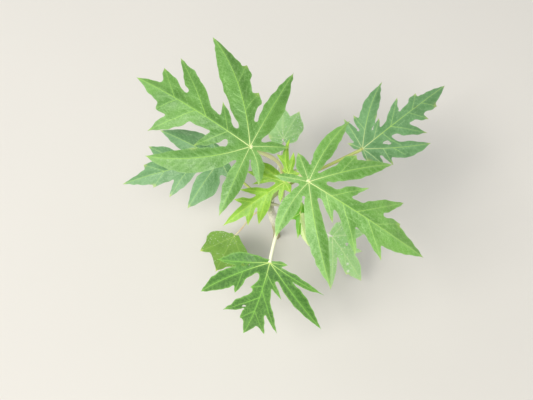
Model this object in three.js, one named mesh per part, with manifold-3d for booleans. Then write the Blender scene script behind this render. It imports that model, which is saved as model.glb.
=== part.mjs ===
// A young papaya plant, rooted in the ground: one upright trunk and eleven long-stalked, lobed leaves.
// Millimetres, Z up. The origin is on the ground, in the middle of the trunk's flat foot.
import * as THREE from "three";
import { mergeVertices } from "three/addons/utils/BufferGeometryUtils.js";
import Module from "manifold-3d";

const wasm = await Module();
wasm.setup();

// Trunk: its middle line, and its radius at the heights where the taper changes.
const TRUNK_LINE = [
  [0, 0, 0],
  [0, 0, 14],
  [-3, -1, 60],
  [-6, -2, 98],
  [-9.5, -3, 122],
  [-13, -3.5, 148],
  [-11.5, -4, 172],
  [1, -6, 215],
  [8, -8, 262],
];
const TRUNK_TAPER = [
  { height: 0, radius: 5.0 },
  { height: 12, radius: 4.3 },
  { height: 45, radius: 4.2 },
  { height: 70, radius: 4.7 },
  { height: 94, radius: 5.6 },
  { height: 125, radius: 4.7 },
  { height: 215, radius: 4.3 },
  { height: 250, radius: 3.4 },
  { height: 262, radius: 1.6 },
];
const TRUNK_STEPS = 26;
const TRUNK_SIDES = 12;
const TRUNK_COLOR = 0xb3ab84;

// Petioles: SEAT_GAP is the air between neighbouring solids. A petiole is BASE_SWELL times its radius where
// it leaves the trunk, is slim after SWELL_SHARE of its length, and is END_SWELL times its radius at the blade.
// It bends over HANDLE_SHARE of its span at both ends, and meets the blade with at least LEAST_CLIMB.
const SEAT_GAP = 0.3;
const PETIOLE_STEPS = 8;
const PETIOLE_SIDES = 8;
const PETIOLE_COLOR = 0xdfe6b4;
const BASE_SWELL = 1.45;
const SWELL_SHARE = 0.2;
const END_SWELL = 1.15;
const HANDLE_SHARE = 0.35;
const LEAST_CLIMB = 0.3;

// Blades: the powers shape a lobe's margin below and above its widest place. The web has only WEB_ENDS of its
// reach at its two ends, and WEB_OPENING says how fast it opens from there to all of it.
const BLADE_THICKNESS = 1.2;
const NECK_POWER = 1.6;
const TIP_POWER = 1.15;
const TOOTH_NECK = 0.9;
const WEB_ENDS = 0.45;
const WEB_OPENING = 1.6;
const LONGEST_EDGE = 34;
const LOBE_STATIONS = 7;
const TOOTH_STATIONS = 4;
const WEB_STEPS = 8;
const JOINED_STEPS = 2;
const SPINE_STEPS = 40;
const WELD = 1e-4;
const ROUGHNESS = 0.55;

// A side point of a lobe: its vein leaves the lobe's midrib at a share of the length, at an angle to it.
const tooth = (side, at, angle, length, width, widest = 0.35, bend = 0) => ({
  side: side === "left" ? 1 : -1,
  at,
  angle,
  length,
  width,
  widest,
  bend,
});

// A lobe: heading in degrees from the middle lobe, sizes in millimetres, droop in degrees along its length.
// bend turns its midrib sideways, lean moves its width to the left half, neck is its width at the base.
const lobe = (heading, length, width, droop, shape = {}) => ({
  heading,
  length,
  width,
  droop,
  widest: 0.5,
  bend: 0,
  lean: 0,
  neck: 0.4,
  teeth: [],
  ...shape,
});

// The leaves, from the oldest and lowest to the youngest at the growing tip.
// The petiole leaves the trunk at a height, bearing and rise. The blade lies at its junction with a heading
// and a pitch, rises by lift before it droops, and is joined round the junction as far as its web, or within
// its own joined outline where it is rounder than its lobes.
const LEAVES = [
  {
    color: 0x86b04a,
    petiole: { height: 138, bearing: 205, rise: 12, radius: 0.9 },
    blade: {
      junction: [-58, -23, 76],
      heading: -117,
      pitch: 36,
      lift: 6,
      joined: [
        [-1.5, 0], [-1, -11], [1.5, -20], [7.5, -30], [15, -35], [25, -35], [33, -28], [41, -20.5], [48, -14.5],
        [56, -9], [56, 0], [47, 6], [44, 14], [42, 24], [32, 31], [20, 29], [11.5, 24], [4, 15], [0, 8], [-1.5, 0],
      ],
    },
    lobes: [
      lobe(-6, 64, 17, 20, { widest: 0.55, neck: 0.6 }),
      lobe(-40, 60, 17, 20, { widest: 0.62, neck: 0.6, lean: -0.1 }),
      lobe(42, 52, 20, 20, { widest: 0.55, neck: 0.7 }),
    ],
  },
  {
    color: 0x9cc48f,
    petiole: { height: 116, bearing: 82, rise: 16, radius: 1.3 },
    blade: {
      junction: [8, 103, 112],
      heading: 85,
      pitch: 4,
      lift: 6,
      joined: [
        [-2.5, 1], [0, -8], [3.5, -15], [7, -20], [12.5, -24], [20, -26.8], [27, -26.5], [35, -22], [36, -12],
        [38, -4], [40, 8], [34, 17], [24, 22], [14, 22.5], [6, 21], [0.5, 19], [-4, 15.5], [-5, 9], [-2.5, 1],
      ],
    },
    lobes: [
      lobe(5, 55, 22, 10, { widest: 0.5, neck: 0.6 }),
      lobe(-22, 51, 18, 10, { widest: 0.62, neck: 0.6, lean: -0.2 }),
      lobe(32, 40, 20, 10, { neck: 0.7 }),
      lobe(-58, 26, 22, 10, { neck: 0.8 }),
      lobe(85, 20, 18, 10, { neck: 0.8 }),
    ],
  },
  {
    color: 0x9dce8a,
    petiole: { height: 156, bearing: 343, rise: 10, radius: 1.2 },
    blade: {
      junction: [72, -26, 86],
      heading: -55,
      pitch: 30,
      lift: 6,
      joined: [
        [-1.5, 0], [3, -9], [14, -11], [24, -11], [29, -6.5], [33, 3], [32, 16], [29, 22], [22, 25], [12, 26],
        [2, 24], [-6, 20], [-5.5, 10], [-1.5, 0],
      ],
    },
    lobes: [
      lobe(5, 82, 24, 20, {
        widest: 0.6,
        neck: 0.5,
        teeth: [tooth("right", 0.36, 26, 31, 12), tooth("left", 0.26, 43, 34, 13)],
      }),
      lobe(-29, 74, 15, 20, { widest: 0.45, neck: 0.6, lean: -0.1 }),
      lobe(62, 50, 17, 12, { neck: 0.6 }),
      lobe(105, 27, 17, 10, { neck: 0.8 }),
    ],
  },
  {
    color: 0x7fb37c,
    petiole: { height: 160, bearing: 144, rise: 8, radius: 1.5 },
    blade: { junction: [-73, 55, 150], heading: -170, pitch: 2, lift: 6, web: [20, 14] },
    lobes: [
      lobe(0, 133, 27, 24, {
        widest: 0.6,
        neck: 0.5,
        teeth: [
          tooth("right", 0.32, 42, 68, 22, 0.5),
          tooth("right", 0.54, 33, 34, 22, 0.5),
          tooth("left", 0.28, 42, 50, 20),
          tooth("left", 0.55, 42, 25, 16),
        ],
      }),
      lobe(-41, 97, 37, 20, { lean: -0.36 }),
      lobe(46, 74, 31, 22, { lean: 0.2, neck: 0.3 }),
      lobe(107, 28, 18, 12),
      lobe(-78, 32, 14, 12),
    ],
  },
  {
    color: 0x76a879,
    petiole: { height: 203, bearing: 22, rise: 24, radius: 1.7 },
    blade: { junction: [94, 35, 228], heading: 41, pitch: 0, lift: 5, web: [27, 14] },
    lobes: [
      lobe(0, 147, 21, 22, {
        widest: 0.7,
        bend: 4,
        lean: -0.1,
        neck: 0.6,
        teeth: [
          tooth("left", 0.12, 34, 31, 8),
          tooth("left", 0.3, 33, 46, 12),
          tooth("left", 0.55, 31, 29, 14, 0.4),
          tooth("right", 0.215, 72, 27, 7, 0.5),
          tooth("right", 0.3, 41, 47, 16),
          tooth("right", 0.51, 47, 27, 12),
          tooth("right", 0.66, 40, 22, 13, 0.5),
        ],
      }),
      lobe(31, 103, 20, 22, { bend: -22, teeth: [tooth("left", 0.22, 38, 26, 10)] }),
      lobe(74, 45, 13, 18),
      lobe(115, 18, 7, 10),
      lobe(-32, 85, 19, 22, {
        widest: 0.6,
        bend: 22,
        lean: -0.2,
        neck: 0.5,
        teeth: [tooth("right", 0.27, 59, 22, 9), tooth("right", 0.42, 30, 17, 10, 0.5)],
      }),
      lobe(-80, 32, 14, 18),
      lobe(-110, 18, 7, 18),
    ],
  },
  {
    color: 0x5c9a48,
    petiole: { height: 219, bearing: 282, rise: 28, radius: 1.7 },
    blade: { junction: [-11, -92, 208], heading: -116, pitch: 36, lift: 4, web: [24, 18] },
    lobes: [
      lobe(0, 116, 26, 34, {
        widest: 0.6,
        bend: -18,
        neck: 0.45,
        teeth: [
          tooth("right", 0.26, 57, 17, 9),
          tooth("right", 0.38, 40, 61, 15),
          tooth("right", 0.57, 30, 28, 16),
          tooth("left", 0.12, 39, 36, 7),
          tooth("left", 0.29, 27, 69, 10),
          tooth("left", 0.57, 31, 41, 13),
        ],
      }),
      lobe(-39, 106, 21, 26, {
        widest: 0.6,
        bend: 19,
        neck: 0.5,
        lean: 0.1,
        teeth: [tooth("left", 0.31, 41, 33, 11)],
      }),
      lobe(-64, 65, 17, 20, { lean: -0.3 }),
      lobe(55, 103, 18, 30, { bend: -8 }),
      lobe(79, 71, 9, 26),
      lobe(106, 20, 7, 14),
    ],
  },
  {
    color: 0x6fb257,
    petiole: { height: 236, bearing: 98, rise: 46, radius: 2.0 },
    blade: { junction: [-31, 4, 300], heading: 145, pitch: -4, lift: 5, web: [24, 21] },
    lobes: [
      lobe(0, 150, 28, 20, {
        widest: 0.66,
        neck: 0.5,
        teeth: [
          tooth("right", 0.19, 45, 35, 12, 0.3),
          tooth("right", 0.36, 33, 86, 18, 0.45, -8),
          tooth("right", 0.64, 35, 46, 19),
          tooth("left", 0.19, 57, 38, 14),
          tooth("left", 0.46, 52, 55, 19),
          tooth("left", 0.62, 52, 26, 22, 0.6),
        ],
      }),
      lobe(-38, 146, 29, 20, {
        widest: 0.53,
        bend: 26,
        lean: 0.1,
        neck: 0.5,
        teeth: [tooth("right", 0.28, 42, 27, 18, 0.6), tooth("right", 0.5, 36, 28, 20, 0.5)],
      }),
      lobe(-82, 102, 21, 16, { widest: 0.45, lean: -0.15 }),
      lobe(-144, 40, 13, 12),
      lobe(38, 111, 26, 24, { widest: 0.55, bend: -40, lean: 0.1, neck: 0.5 }),
      lobe(102, 77, 19, 22),
      lobe(138, 42, 13, 20, { bend: -35 }),
    ],
  },
  {
    color: 0x74bb60,
    petiole: { height: 241, bearing: 335, rise: 50, radius: 1.9 },
    blade: { junction: [26, -38, 310], heading: -29, pitch: 8, lift: 6, web: [18, 16] },
    lobes: [
      lobe(0, 140, 28, 26, {
        widest: 0.66,
        bend: 7,
        neck: 0.5,
        teeth: [
          tooth("left", 0.18, 47, 42, 12),
          tooth("left", 0.38, 45, 60, 16, 0.35, 4),
          tooth("left", 0.55, 34, 30, 13, 0.5),
          tooth("right", 0.13, 45, 30, 9),
          tooth("right", 0.27, 42, 52, 13),
          tooth("right", 0.48, 37, 43, 13),
        ],
      }),
      lobe(46, 97, 19, 26, {
        widest: 0.55,
        bend: -6,
        neck: 0.5,
        teeth: [tooth("left", 0.35, 30, 29, 16, 0.55)],
      }),
      lobe(86, 87, 17, 22, { bend: -22 }),
      lobe(136, 33, 14, 20),
      lobe(-48, 106, 20, 26, { bend: 18, neck: 0.45 }),
      lobe(-91, 64, 17, 24, { bend: 28, neck: 0.35 }),
      lobe(-161, 35, 9, 15),
    ],
  },
  {
    color: 0x8ccb3f,
    petiole: { height: 247, bearing: 225, rise: 45, radius: 1.3 },
    blade: { junction: [4, -23, 272], heading: -148, pitch: 8, lift: 6, web: [10, 7] },
    lobes: [
      lobe(0, 80, 12, 24, {
        widest: 0.64,
        neck: 0.55,
        teeth: [
          tooth("right", 0.24, 43, 33, 8),
          tooth("right", 0.47, 46, 24, 8),
          tooth("left", 0.24, 35, 36, 12),
          tooth("left", 0.49, 39, 24, 8),
        ],
      }),
      lobe(-52, 44, 9, 18, { neck: 0.5, teeth: [tooth("left", 0.29, 31, 23, 5)] }),
      lobe(-71, 42, 13, 14),
      lobe(45, 23, 5.5, 18, { lean: -0.5 }),
      lobe(87, 13, 8, 30),
    ],
  },
  {
    color: 0x6ea63c,
    petiole: { height: 236, bearing: 292, rise: 40, radius: 1.1 },
    blade: { junction: [20.5, -52, 258], heading: -91, pitch: 15, lift: 6, web: [6, 5] },
    lobes: [
      lobe(-5, 27, 7.5, 20, { widest: 0.35, neck: 0.8 }),
      lobe(16, 37, 9, 20, { bend: 20, neck: 0.8 }),
      lobe(-60, 14, 6, 20),
      lobe(172, 12, 8, 10, { neck: 0.7 }),
    ],
  },
  {
    color: 0xa3d146,
    petiole: { height: 252, bearing: 264, rise: 75, radius: 1.0 },
    blade: { junction: [8.5, -13, 270], heading: 86, pitch: -35, lift: 4, web: [6, 5] },
    lobes: [
      lobe(2, 39, 7, -12, { bend: -46, widest: 0.42, neck: 0.7, teeth: [tooth("left", 0.32, 40, 13, 5)] }),
      lobe(-8, 24, 6.5, -10, { bend: 18, neck: 0.6 }),
      lobe(64, 8, 5, -6),
      lobe(-84, 12, 6, -6),
    ],
  },
];

const rad = THREE.MathUtils.degToRad;
const deg = THREE.MathUtils.radToDeg;
const plant = new THREE.Group();

function addMesh(name, geometry, color) {
  const material = new THREE.MeshStandardMaterial({ color, roughness: ROUGHNESS, metalness: 0 });
  const mesh = new THREE.Mesh(geometry, material);
  mesh.name = name;
  plant.add(mesh);
}

// The value of a taper table at a height, straight between its rows.
function taperAt(table, height) {
  const above = table.findIndex((row) => row.height >= height);
  if (above <= 0) return table[above === 0 ? 0 : table.length - 1].radius;
  const low = table[above - 1];
  const high = table[above];
  const share = (height - low.height) / (high.height - low.height);
  return THREE.MathUtils.lerp(low.radius, high.radius, share);
}

// A tapering limb: a cylinder whose rings are carried along a curve, each with its own radius.
function limb(curve, radiusAt, steps, sides) {
  const geometry = new THREE.CylinderGeometry(1, 1, 1, sides, steps);
  const frames = curve.computeFrenetFrames(steps);
  const position = geometry.getAttribute("position");
  for (let i = 0; i < position.count; i++) {
    const share = position.getY(i) + 0.5;
    const ring = Math.round(share * steps);
    const radius = radiusAt(share);
    const point = curve
      .getPointAt(share)
      .addScaledVector(frames.normals[ring], position.getX(i) * radius)
      .addScaledVector(frames.binormals[ring], -position.getZ(i) * radius);
    position.setXYZ(i, point.x, point.y, point.z);
  }
  return geometry;
}

const trunkCurve = new THREE.CatmullRomCurve3(TRUNK_LINE.map((p) => new THREE.Vector3(...p)));

// The trunk, with its first ring flat on the ground.
function trunkGeometry() {
  const radiusAt = (share) => taperAt(TRUNK_TAPER, trunkCurve.getPointAt(share).z);
  const geometry = limb(trunkCurve, radiusAt, TRUNK_STEPS, TRUNK_SIDES);
  const position = geometry.getAttribute("position");
  for (let i = 0; i < position.count; i++) {
    if (position.getZ(i) < SEAT_GAP) position.setZ(i, 0);
  }
  return geometry;
}

// The middle of the trunk at a height.
function trunkMiddle(height) {
  const points = trunkCurve.getPoints(Math.round(trunkCurve.getLength()));
  return points.reduce((best, p) =>
    Math.abs(p.z - height) < Math.abs(best.z - height) ? p : best,
  );
}

// The directions of a blade's own axes: along its middle lobe, across it, and up from its upper face.
function bladeFrame({ heading, pitch }) {
  return new THREE.Matrix4()
    .makeRotationZ(rad(heading))
    .multiply(new THREE.Matrix4().makeRotationY(rad(pitch)));
}

function petioleGeometry({ petiole, blade }) {
  const { height, bearing, rise, radius } = petiole;
  const out = new THREE.Vector3(Math.cos(rad(bearing)), Math.sin(rad(bearing)), 0);
  const leave = out.clone().multiplyScalar(Math.cos(rad(rise))).setZ(Math.sin(rad(rise)));
  const baseRadius = radius * BASE_SWELL;
  const endRadius = radius * END_SWELL;
  const middle = trunkMiddle(height);
  const lean = trunkMiddle(height + baseRadius).clone().sub(middle).dot(out);
  const inward = baseRadius * Math.sin(rad(rise)) + Math.max(0, lean);
  const start = middle.clone().addScaledVector(out, taperAt(TRUNK_TAPER, height) + inward + SEAT_GAP);

  const up = new THREE.Vector3(0, 0, 1).transformDirection(bladeFrame(blade));
  const junction = new THREE.Vector3(...blade.junction);
  const span = junction.distanceTo(start);
  const chord = junction.clone().sub(start).divideScalar(span);
  const climb = Math.max(LEAST_CLIMB, chord.dot(up));
  const arrive = chord.projectOnPlane(up).normalize().addScaledVector(up, climb).normalize();
  const slant = Math.sqrt(1 - arrive.dot(up) ** 2);
  const below = BLADE_THICKNESS / 2 + SEAT_GAP + endRadius * slant;
  const end = junction.clone().addScaledVector(up, -below);
  const curve = new THREE.CubicBezierCurve3(
    start,
    start.clone().addScaledVector(leave, span * HANDLE_SHARE),
    end.clone().addScaledVector(arrive, -span * HANDLE_SHARE),
    end,
  );
  const radiusAt = (share) => {
    if (share < SWELL_SHARE) return THREE.MathUtils.lerp(baseRadius, radius, share / SWELL_SHARE);
    return THREE.MathUtils.lerp(radius, endRadius, (share - SWELL_SHARE) / (1 - SWELL_SHARE));
  };
  return limb(curve, radiusAt, PETIOLE_STEPS, PETIOLE_SIDES);
}

// Half-width share along a lobe: a neck at its base, widest at a given share, pointed at its tip.
function widthShare(share, widest, neck) {
  if (share < widest) {
    return neck + (1 - neck) * Math.sin((Math.PI / 2) * (share / widest)) ** NECK_POWER;
  }
  return Math.cos((Math.PI / 2) * ((share - widest) / (1 - widest))) ** TIP_POWER;
}

// Points and headings along a vein that turns evenly by bend degrees.
function vein(start, heading, length, bend, steps) {
  const points = [];
  let point = start;
  for (let i = 0; i <= steps; i++) {
    const turn = rad(heading - bend / 2 + (bend * i) / steps);
    points.push({ point, turn });
    const middle = turn + rad(bend) / (2 * steps);
    const step = new THREE.Vector2(Math.cos(middle), Math.sin(middle)).multiplyScalar(length / steps);
    point = point.clone().add(step);
  }
  return points;
}

// The flat outline of a lobe or tooth round its vein.
function outline(stations, { width, widest, lean = 0, neck }) {
  const left = [];
  const right = [];
  stations.forEach(({ point, turn }, i) => {
    const share = i / (stations.length - 1);
    const half = (width / 2) * widthShare(share, widest, neck);
    const across = new THREE.Vector2(-Math.sin(turn), Math.cos(turn));
    left.push(point.clone().addScaledVector(across, half * (1 + lean)));
    right.unshift(point.clone().addScaledVector(across, -half * (1 - lean)));
  });
  left.pop();
  return [...left, stations[stations.length - 1].point, ...right.slice(1)];
}

// The joined part of a blade round its junction: its own outline, or a web that is open at the back.
function joinedOutline({ lobes, blade }) {
  if (blade.joined) {
    const corners = blade.joined.map(([x, y]) => new THREE.Vector2(x, y));
    return new THREE.SplineCurve(corners).getPoints(JOINED_STEPS * (corners.length - 1)).slice(1);
  }
  const [front, back] = blade.web;
  const headings = lobes.map((l) => l.heading);
  const first = Math.min(...headings);
  const last = Math.max(...headings);
  const points = [new THREE.Vector2(0, 0)];
  for (let i = 0; i <= WEB_STEPS; i++) {
    const heading = rad(THREE.MathUtils.lerp(first, last, i / WEB_STEPS));
    const inward = Math.min(1, WEB_ENDS + (WEB_OPENING * Math.min(i, WEB_STEPS - i)) / WEB_STEPS);
    const reach = inward * THREE.MathUtils.lerp(back, front, Math.cos(heading / 2) ** 2);
    points.push(new THREE.Vector2(Math.cos(heading), Math.sin(heading)).multiplyScalar(reach));
  }
  return points;
}

// A flat plate of an outline, as a solid that can be joined.
function plate(points) {
  const geometry = new THREE.ExtrudeGeometry(new THREE.Shape(points), {
    depth: BLADE_THICKNESS,
    bevelEnabled: false,
  });
  geometry.deleteAttribute("normal");
  geometry.deleteAttribute("uv");
  const merged = mergeVertices(geometry, WELD);
  return new wasm.Manifold(
    new wasm.Mesh({
      numProp: 3,
      vertProperties: merged.getAttribute("position").array,
      triVerts: new Uint32Array(merged.index.array),
    }),
  );
}

function flatBlade(leaf) {
  const { lobes } = leaf;
  const origin = new THREE.Vector2(0, 0);
  const outlines = [joinedOutline(leaf)];
  for (const part of lobes) {
    outlines.push(outline(vein(origin, part.heading, part.length, part.bend, LOBE_STATIONS), part));
    const midrib = vein(origin, part.heading, part.length, part.bend, SPINE_STEPS);
    for (const point of part.teeth) {
      const base = midrib[Math.round(point.at * SPINE_STEPS)];
      const heading = deg(base.turn) + point.side * point.angle;
      const stations = vein(base.point, heading, point.length, point.bend * point.side, TOOTH_STATIONS);
      outlines.push(outline(stations, { ...point, neck: TOOTH_NECK }));
    }
  }
  return outlines.map(plate).reduce((whole, piece) => whole.add(piece)).getMesh();
}

// Splits every edge longer than a limit at its middle, the same on both sides, until none is left.
function split(points, triangles, limit) {
  let faces = triangles;
  for (;;) {
    const middles = new Map();
    const middle = (a, b) => {
      if (points[a].distanceTo(points[b]) <= limit) return null;
      const key = a < b ? `${a}_${b}` : `${b}_${a}`;
      if (!middles.has(key)) {
        middles.set(key, points.length);
        points.push(points[a].clone().lerp(points[b], 0.5));
      }
      return middles.get(key);
    };
    const next = [];
    for (const [a, b, c] of faces) {
      const cuts = [middle(a, b), middle(b, c), middle(c, a)];
      const turn = [0, 1, 2].find((k) => cuts[k] !== null && cuts[(k + 2) % 3] === null) ?? 0;
      const [p, q, r] = [0, 1, 2].map((k) => [a, b, c][(k + turn) % 3]);
      const [pq, qr, rp] = [0, 1, 2].map((k) => cuts[(k + turn) % 3]);
      if (pq === null) next.push([p, q, r]);
      else if (qr === null) next.push([p, pq, r], [pq, q, r]);
      else if (rp === null) next.push([p, pq, r], [pq, q, qr], [pq, qr, r]);
      else next.push([p, pq, rp], [pq, q, qr], [rp, qr, r], [pq, qr, rp]);
    }
    if (middles.size === 0) return faces;
    faces = next;
  }
}

// How fast a blade turns down along a heading, in radians per millimetre, smooth between its lobes.
function droopRate(lobes, lift, heading) {
  const turned = (value) => ((value % 360) + 360) % 360;
  const ring = lobes
    .map((l) => ({ heading: turned(l.heading), rate: rad(l.droop + lift) / l.length }))
    .sort((a, b) => a.heading - b.heading);
  const after = ring.findIndex((l) => l.heading >= turned(heading));
  const high = ring[after < 0 ? 0 : after];
  const low = ring[(after <= 0 ? ring.length : after) - 1];
  const span = turned(high.heading - low.heading) || 360;
  const share = THREE.MathUtils.smoothstep(turned(heading - low.heading) / span, 0, 1);
  return THREE.MathUtils.lerp(low.rate, high.rate, share);
}

// The flat blade bent down along its lobes, then turned and moved to its junction.
function bladeGeometry(leaf) {
  const { blade, lobes } = leaf;
  const mesh = flatBlade(leaf);
  const points = [];
  for (let i = 0; i < mesh.vertProperties.length; i += mesh.numProp) {
    points.push(new THREE.Vector3(...mesh.vertProperties.slice(i, i + 3)));
  }
  const triangles = [];
  for (let i = 0; i < mesh.triVerts.length; i += 3) {
    triangles.push([...mesh.triVerts.slice(i, i + 3)]);
  }
  const faces = split(points, triangles, LONGEST_EDGE);
  const lift = rad(blade.lift);
  const place = bladeFrame(blade).setPosition(...blade.junction);
  const bent = points.map((p) => {
    const reach = Math.hypot(p.x, p.y);
    const heading = Math.atan2(p.y, p.x);
    const rate = droopRate(lobes, blade.lift, deg(heading));
    const across = (Math.sin(rate * reach - lift) + Math.sin(lift)) / rate;
    const rise = (Math.cos(rate * reach - lift) - Math.cos(lift)) / rate;
    const z = rise + p.z - BLADE_THICKNESS / 2;
    return new THREE.Vector3(across * Math.cos(heading), across * Math.sin(heading), z).applyMatrix4(place);
  });
  const geometry = new THREE.BufferGeometry();
  geometry.setAttribute("position", new THREE.Float32BufferAttribute(bent.flatMap((p) => p.toArray()), 3));
  geometry.setIndex(faces.flat());
  geometry.computeVertexNormals();
  return geometry;
}

addMesh("trunk", trunkGeometry(), TRUNK_COLOR);
LEAVES.forEach((leaf, i) => {
  const number = String(i + 1).padStart(2, "0");
  addMesh(`petiole_${number}`, petioleGeometry(leaf), PETIOLE_COLOR);
  addMesh(`blade_${number}`, bladeGeometry(leaf), leaf.color);
});

export default plant;
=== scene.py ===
"""The looks of a young papaya plant: bark, petioles, veined and lobed blades, and a plain studio.

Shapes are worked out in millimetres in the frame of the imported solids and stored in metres.
"""

import logging
import math
from dataclasses import dataclass, field
from enum import Enum

import bpy
import numpy as np
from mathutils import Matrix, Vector, geometry, kdtree, noise


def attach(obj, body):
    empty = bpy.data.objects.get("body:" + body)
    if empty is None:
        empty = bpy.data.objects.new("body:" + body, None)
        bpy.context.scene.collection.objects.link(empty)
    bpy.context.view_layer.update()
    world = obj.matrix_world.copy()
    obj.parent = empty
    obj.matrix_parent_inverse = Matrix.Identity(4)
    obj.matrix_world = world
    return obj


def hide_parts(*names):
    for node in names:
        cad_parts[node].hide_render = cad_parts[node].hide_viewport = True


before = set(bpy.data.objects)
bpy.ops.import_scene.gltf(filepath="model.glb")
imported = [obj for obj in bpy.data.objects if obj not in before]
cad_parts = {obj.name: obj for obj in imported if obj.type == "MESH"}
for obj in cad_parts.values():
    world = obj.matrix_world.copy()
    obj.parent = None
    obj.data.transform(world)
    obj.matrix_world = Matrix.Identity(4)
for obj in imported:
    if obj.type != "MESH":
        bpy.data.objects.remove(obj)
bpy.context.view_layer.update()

LOG = logging.getLogger("papaya")
METRES = 0.001
FAR = 99.0
WELD = 1e-4
Array = np.ndarray
Line = tuple[Array, Array]
Tree = kdtree.KDTree
Surroundings = tuple[Tree, list[int], Tree]
Color = tuple[float, float, float, float]
Place = tuple[float, float, float]
Socket = bpy.types.NodeSocket
Material = bpy.types.Material
Thing = bpy.types.Object


# Small sums


def srgb(code: str) -> Color:
    """Turns a screen colour such as "6fb257" into linear light, with an alpha of one."""
    parts = [int(code[i : i + 2], 16) / 255 for i in (0, 2, 4)]
    return (*(p / 12.92 if p <= 0.04045 else ((p + 0.055) / 1.055) ** 2.4 for p in parts), 1.0)


def smooth(value: Array | float, low: float, high: float) -> Array:
    """Rises smoothly from 0 at low to 1 at high."""
    share = np.clip((np.asarray(value, float) - low) / (high - low), 0, 1)
    return share * share * (3 - 2 * share)


def hump(offset: Array, width: float | Array) -> Array:
    """A rounded rise: 1 where there is no offset, and 0 a few widths away."""
    return np.exp(-((offset / width) ** 2))


def full_turn(count: int) -> Array:
    """Evenly spaced angles round a full turn, in radians."""
    return 2 * np.pi * np.arange(count) / count


def direction(turn: Array | float) -> Array:
    """The flat direction of each heading in radians."""
    return np.stack([np.cos(turn), np.sin(turn)], -1)


def aside(turn: Array) -> Array:
    """The flat direction to the left of each heading in radians."""
    return np.stack([-np.sin(turn), np.cos(turn)], -1)


def level(bearing: float) -> Array:
    """The level direction of a bearing in degrees."""
    return np.array([math.cos(math.radians(bearing)), math.sin(math.radians(bearing)), 0.0])


def unit(vectors: Array) -> Array:
    """Brings a vector, or each row of vectors, to a length of one."""
    return vectors / np.linalg.norm(vectors, axis=-1, keepdims=True)


def noise_at(x: Array, y: Array, z: Array | float) -> Array:
    """Reads smooth noise at places given axis by axis."""
    places = np.stack(np.broadcast_arrays(x, y, z), -1)
    return np.apply_along_axis(lambda place: noise.noise(Vector(place)), -1, places)


def vectors(points: Array) -> list[Vector]:
    """Turns rows of numbers into vectors."""
    return [Vector(p) for p in points.tolist()]


def spline(points: Array, share: Array) -> Array:
    """Follows a smooth line through points.

    Args:
        points: The points, one a row.
        share: Where to read it, from 0 to 1 along the points.

    Returns:
        One point for each share.
    """
    count = len(points) - 1
    at = np.clip(share * count, 0, count - 1e-9)
    low = at.astype(int)
    t = (at - low)[:, None]
    padded = np.vstack([2 * points[0] - points[1], points, 2 * points[-1] - points[-2]])
    p0, p1, p2, p3 = (padded[low + k] for k in range(4))
    bend = (2 * p0 - 5 * p1 + 4 * p2 - p3) * t**2 + (3 * p1 - p0 - 3 * p2 + p3) * t**3
    return 0.5 * (2 * p1 + (p2 - p0) * t + bend)


def trace(start: Array, heading: float, length: float, bend: float, steps: int) -> Line:
    """Follows a line that turns evenly.

    Args:
        start: Where it starts.
        heading: Its mean heading in degrees.
        length: Its length.
        bend: How far it turns in all, in degrees.
        steps: How many steps it is drawn in.

    Returns:
        The points, and the heading at each in radians.
    """
    headings = np.radians(heading - bend / 2 + bend * np.arange(steps + 1) / steps)
    moves = direction(headings[:-1] + np.radians(bend) / (2 * steps)) * length / steps
    return np.asarray(start) + np.vstack([[0.0, 0.0], np.cumsum(moves, 0)]), headings


def gap_to_points(points: Array, others: Array) -> Array:
    """Each point's distance to the nearest of some others, up to FAR."""
    return np.sqrt(((points[:, None] - others[None]) ** 2).sum(2)).min(1, initial=FAR)


def gap_to_lines(points: Array, starts: Array, ends: Array) -> Array:
    """Measures each point's distance to the nearest of some straight stretches.

    Args:
        points: The points, one a row.
        starts: The first ends of the stretches.
        ends: Their second ends.

    Returns:
        One distance for each point.
    """
    best = np.full(len(points), 1e9)
    run = ends - starts
    square = np.maximum((run**2).sum(1), 1e-9)
    at_once = 256
    for first in range(0, len(starts), at_once):
        part = slice(first, first + at_once)
        offset = points[:, None, :] - starts[None, part, :]
        share = np.clip((offset * run[None, part]).sum(2) / square[None, part], 0, 1)
        rest = offset - share[:, :, None] * run[None, part]
        best = np.minimum(best, np.sqrt((rest**2).sum(2)).min(1))
    return best


def inside(points: Array, loop: Array) -> Array:
    """Says which points lie within a closed outline.

    Args:
        points: The points, one a row.
        loop: The outline's corners in order.

    Returns:
        True for each point within.
    """
    held = np.zeros(len(points), bool)
    for a, b in zip(loop, np.roll(loop, -1, 0)):
        if a[1] != b[1]:
            crosses = (a[1] > points[:, 1]) != (b[1] > points[:, 1])
            held ^= crosses & (points[:, 0] < a[0] + (points[:, 1] - a[1]) * (b[0] - a[0]) / (b[1] - a[1]))
    return held


def search_tree(points: list[Array]) -> Tree:
    """Sorts flat points for quick searches.

    Args:
        points: The points.

    Returns:
        A balanced tree that knows them by their place in the list.
    """
    tree = Tree(len(points))
    for i, point in enumerate(points):
        tree.insert((*point, 0), i)
    tree.balance()
    return tree


# Pieces


def tube_faces(rings: int, sides: int) -> list[list[int]]:
    """Lists the faces of a closed tube whose corners come ring after ring.

    Args:
        rings: How many rings it has.
        sides: How many corners each ring has.

    Returns:
        The faces round it and its two ends.
    """
    faces = [
        [i + k, i + (k + 1) % sides, i + sides + (k + 1) % sides, i + sides + k]
        for i in range(0, (rings - 1) * sides, sides)
        for k in range(sides)
    ]
    return faces + [list(range(sides))[::-1], list(range((rings - 1) * sides, rings * sides))]


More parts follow.
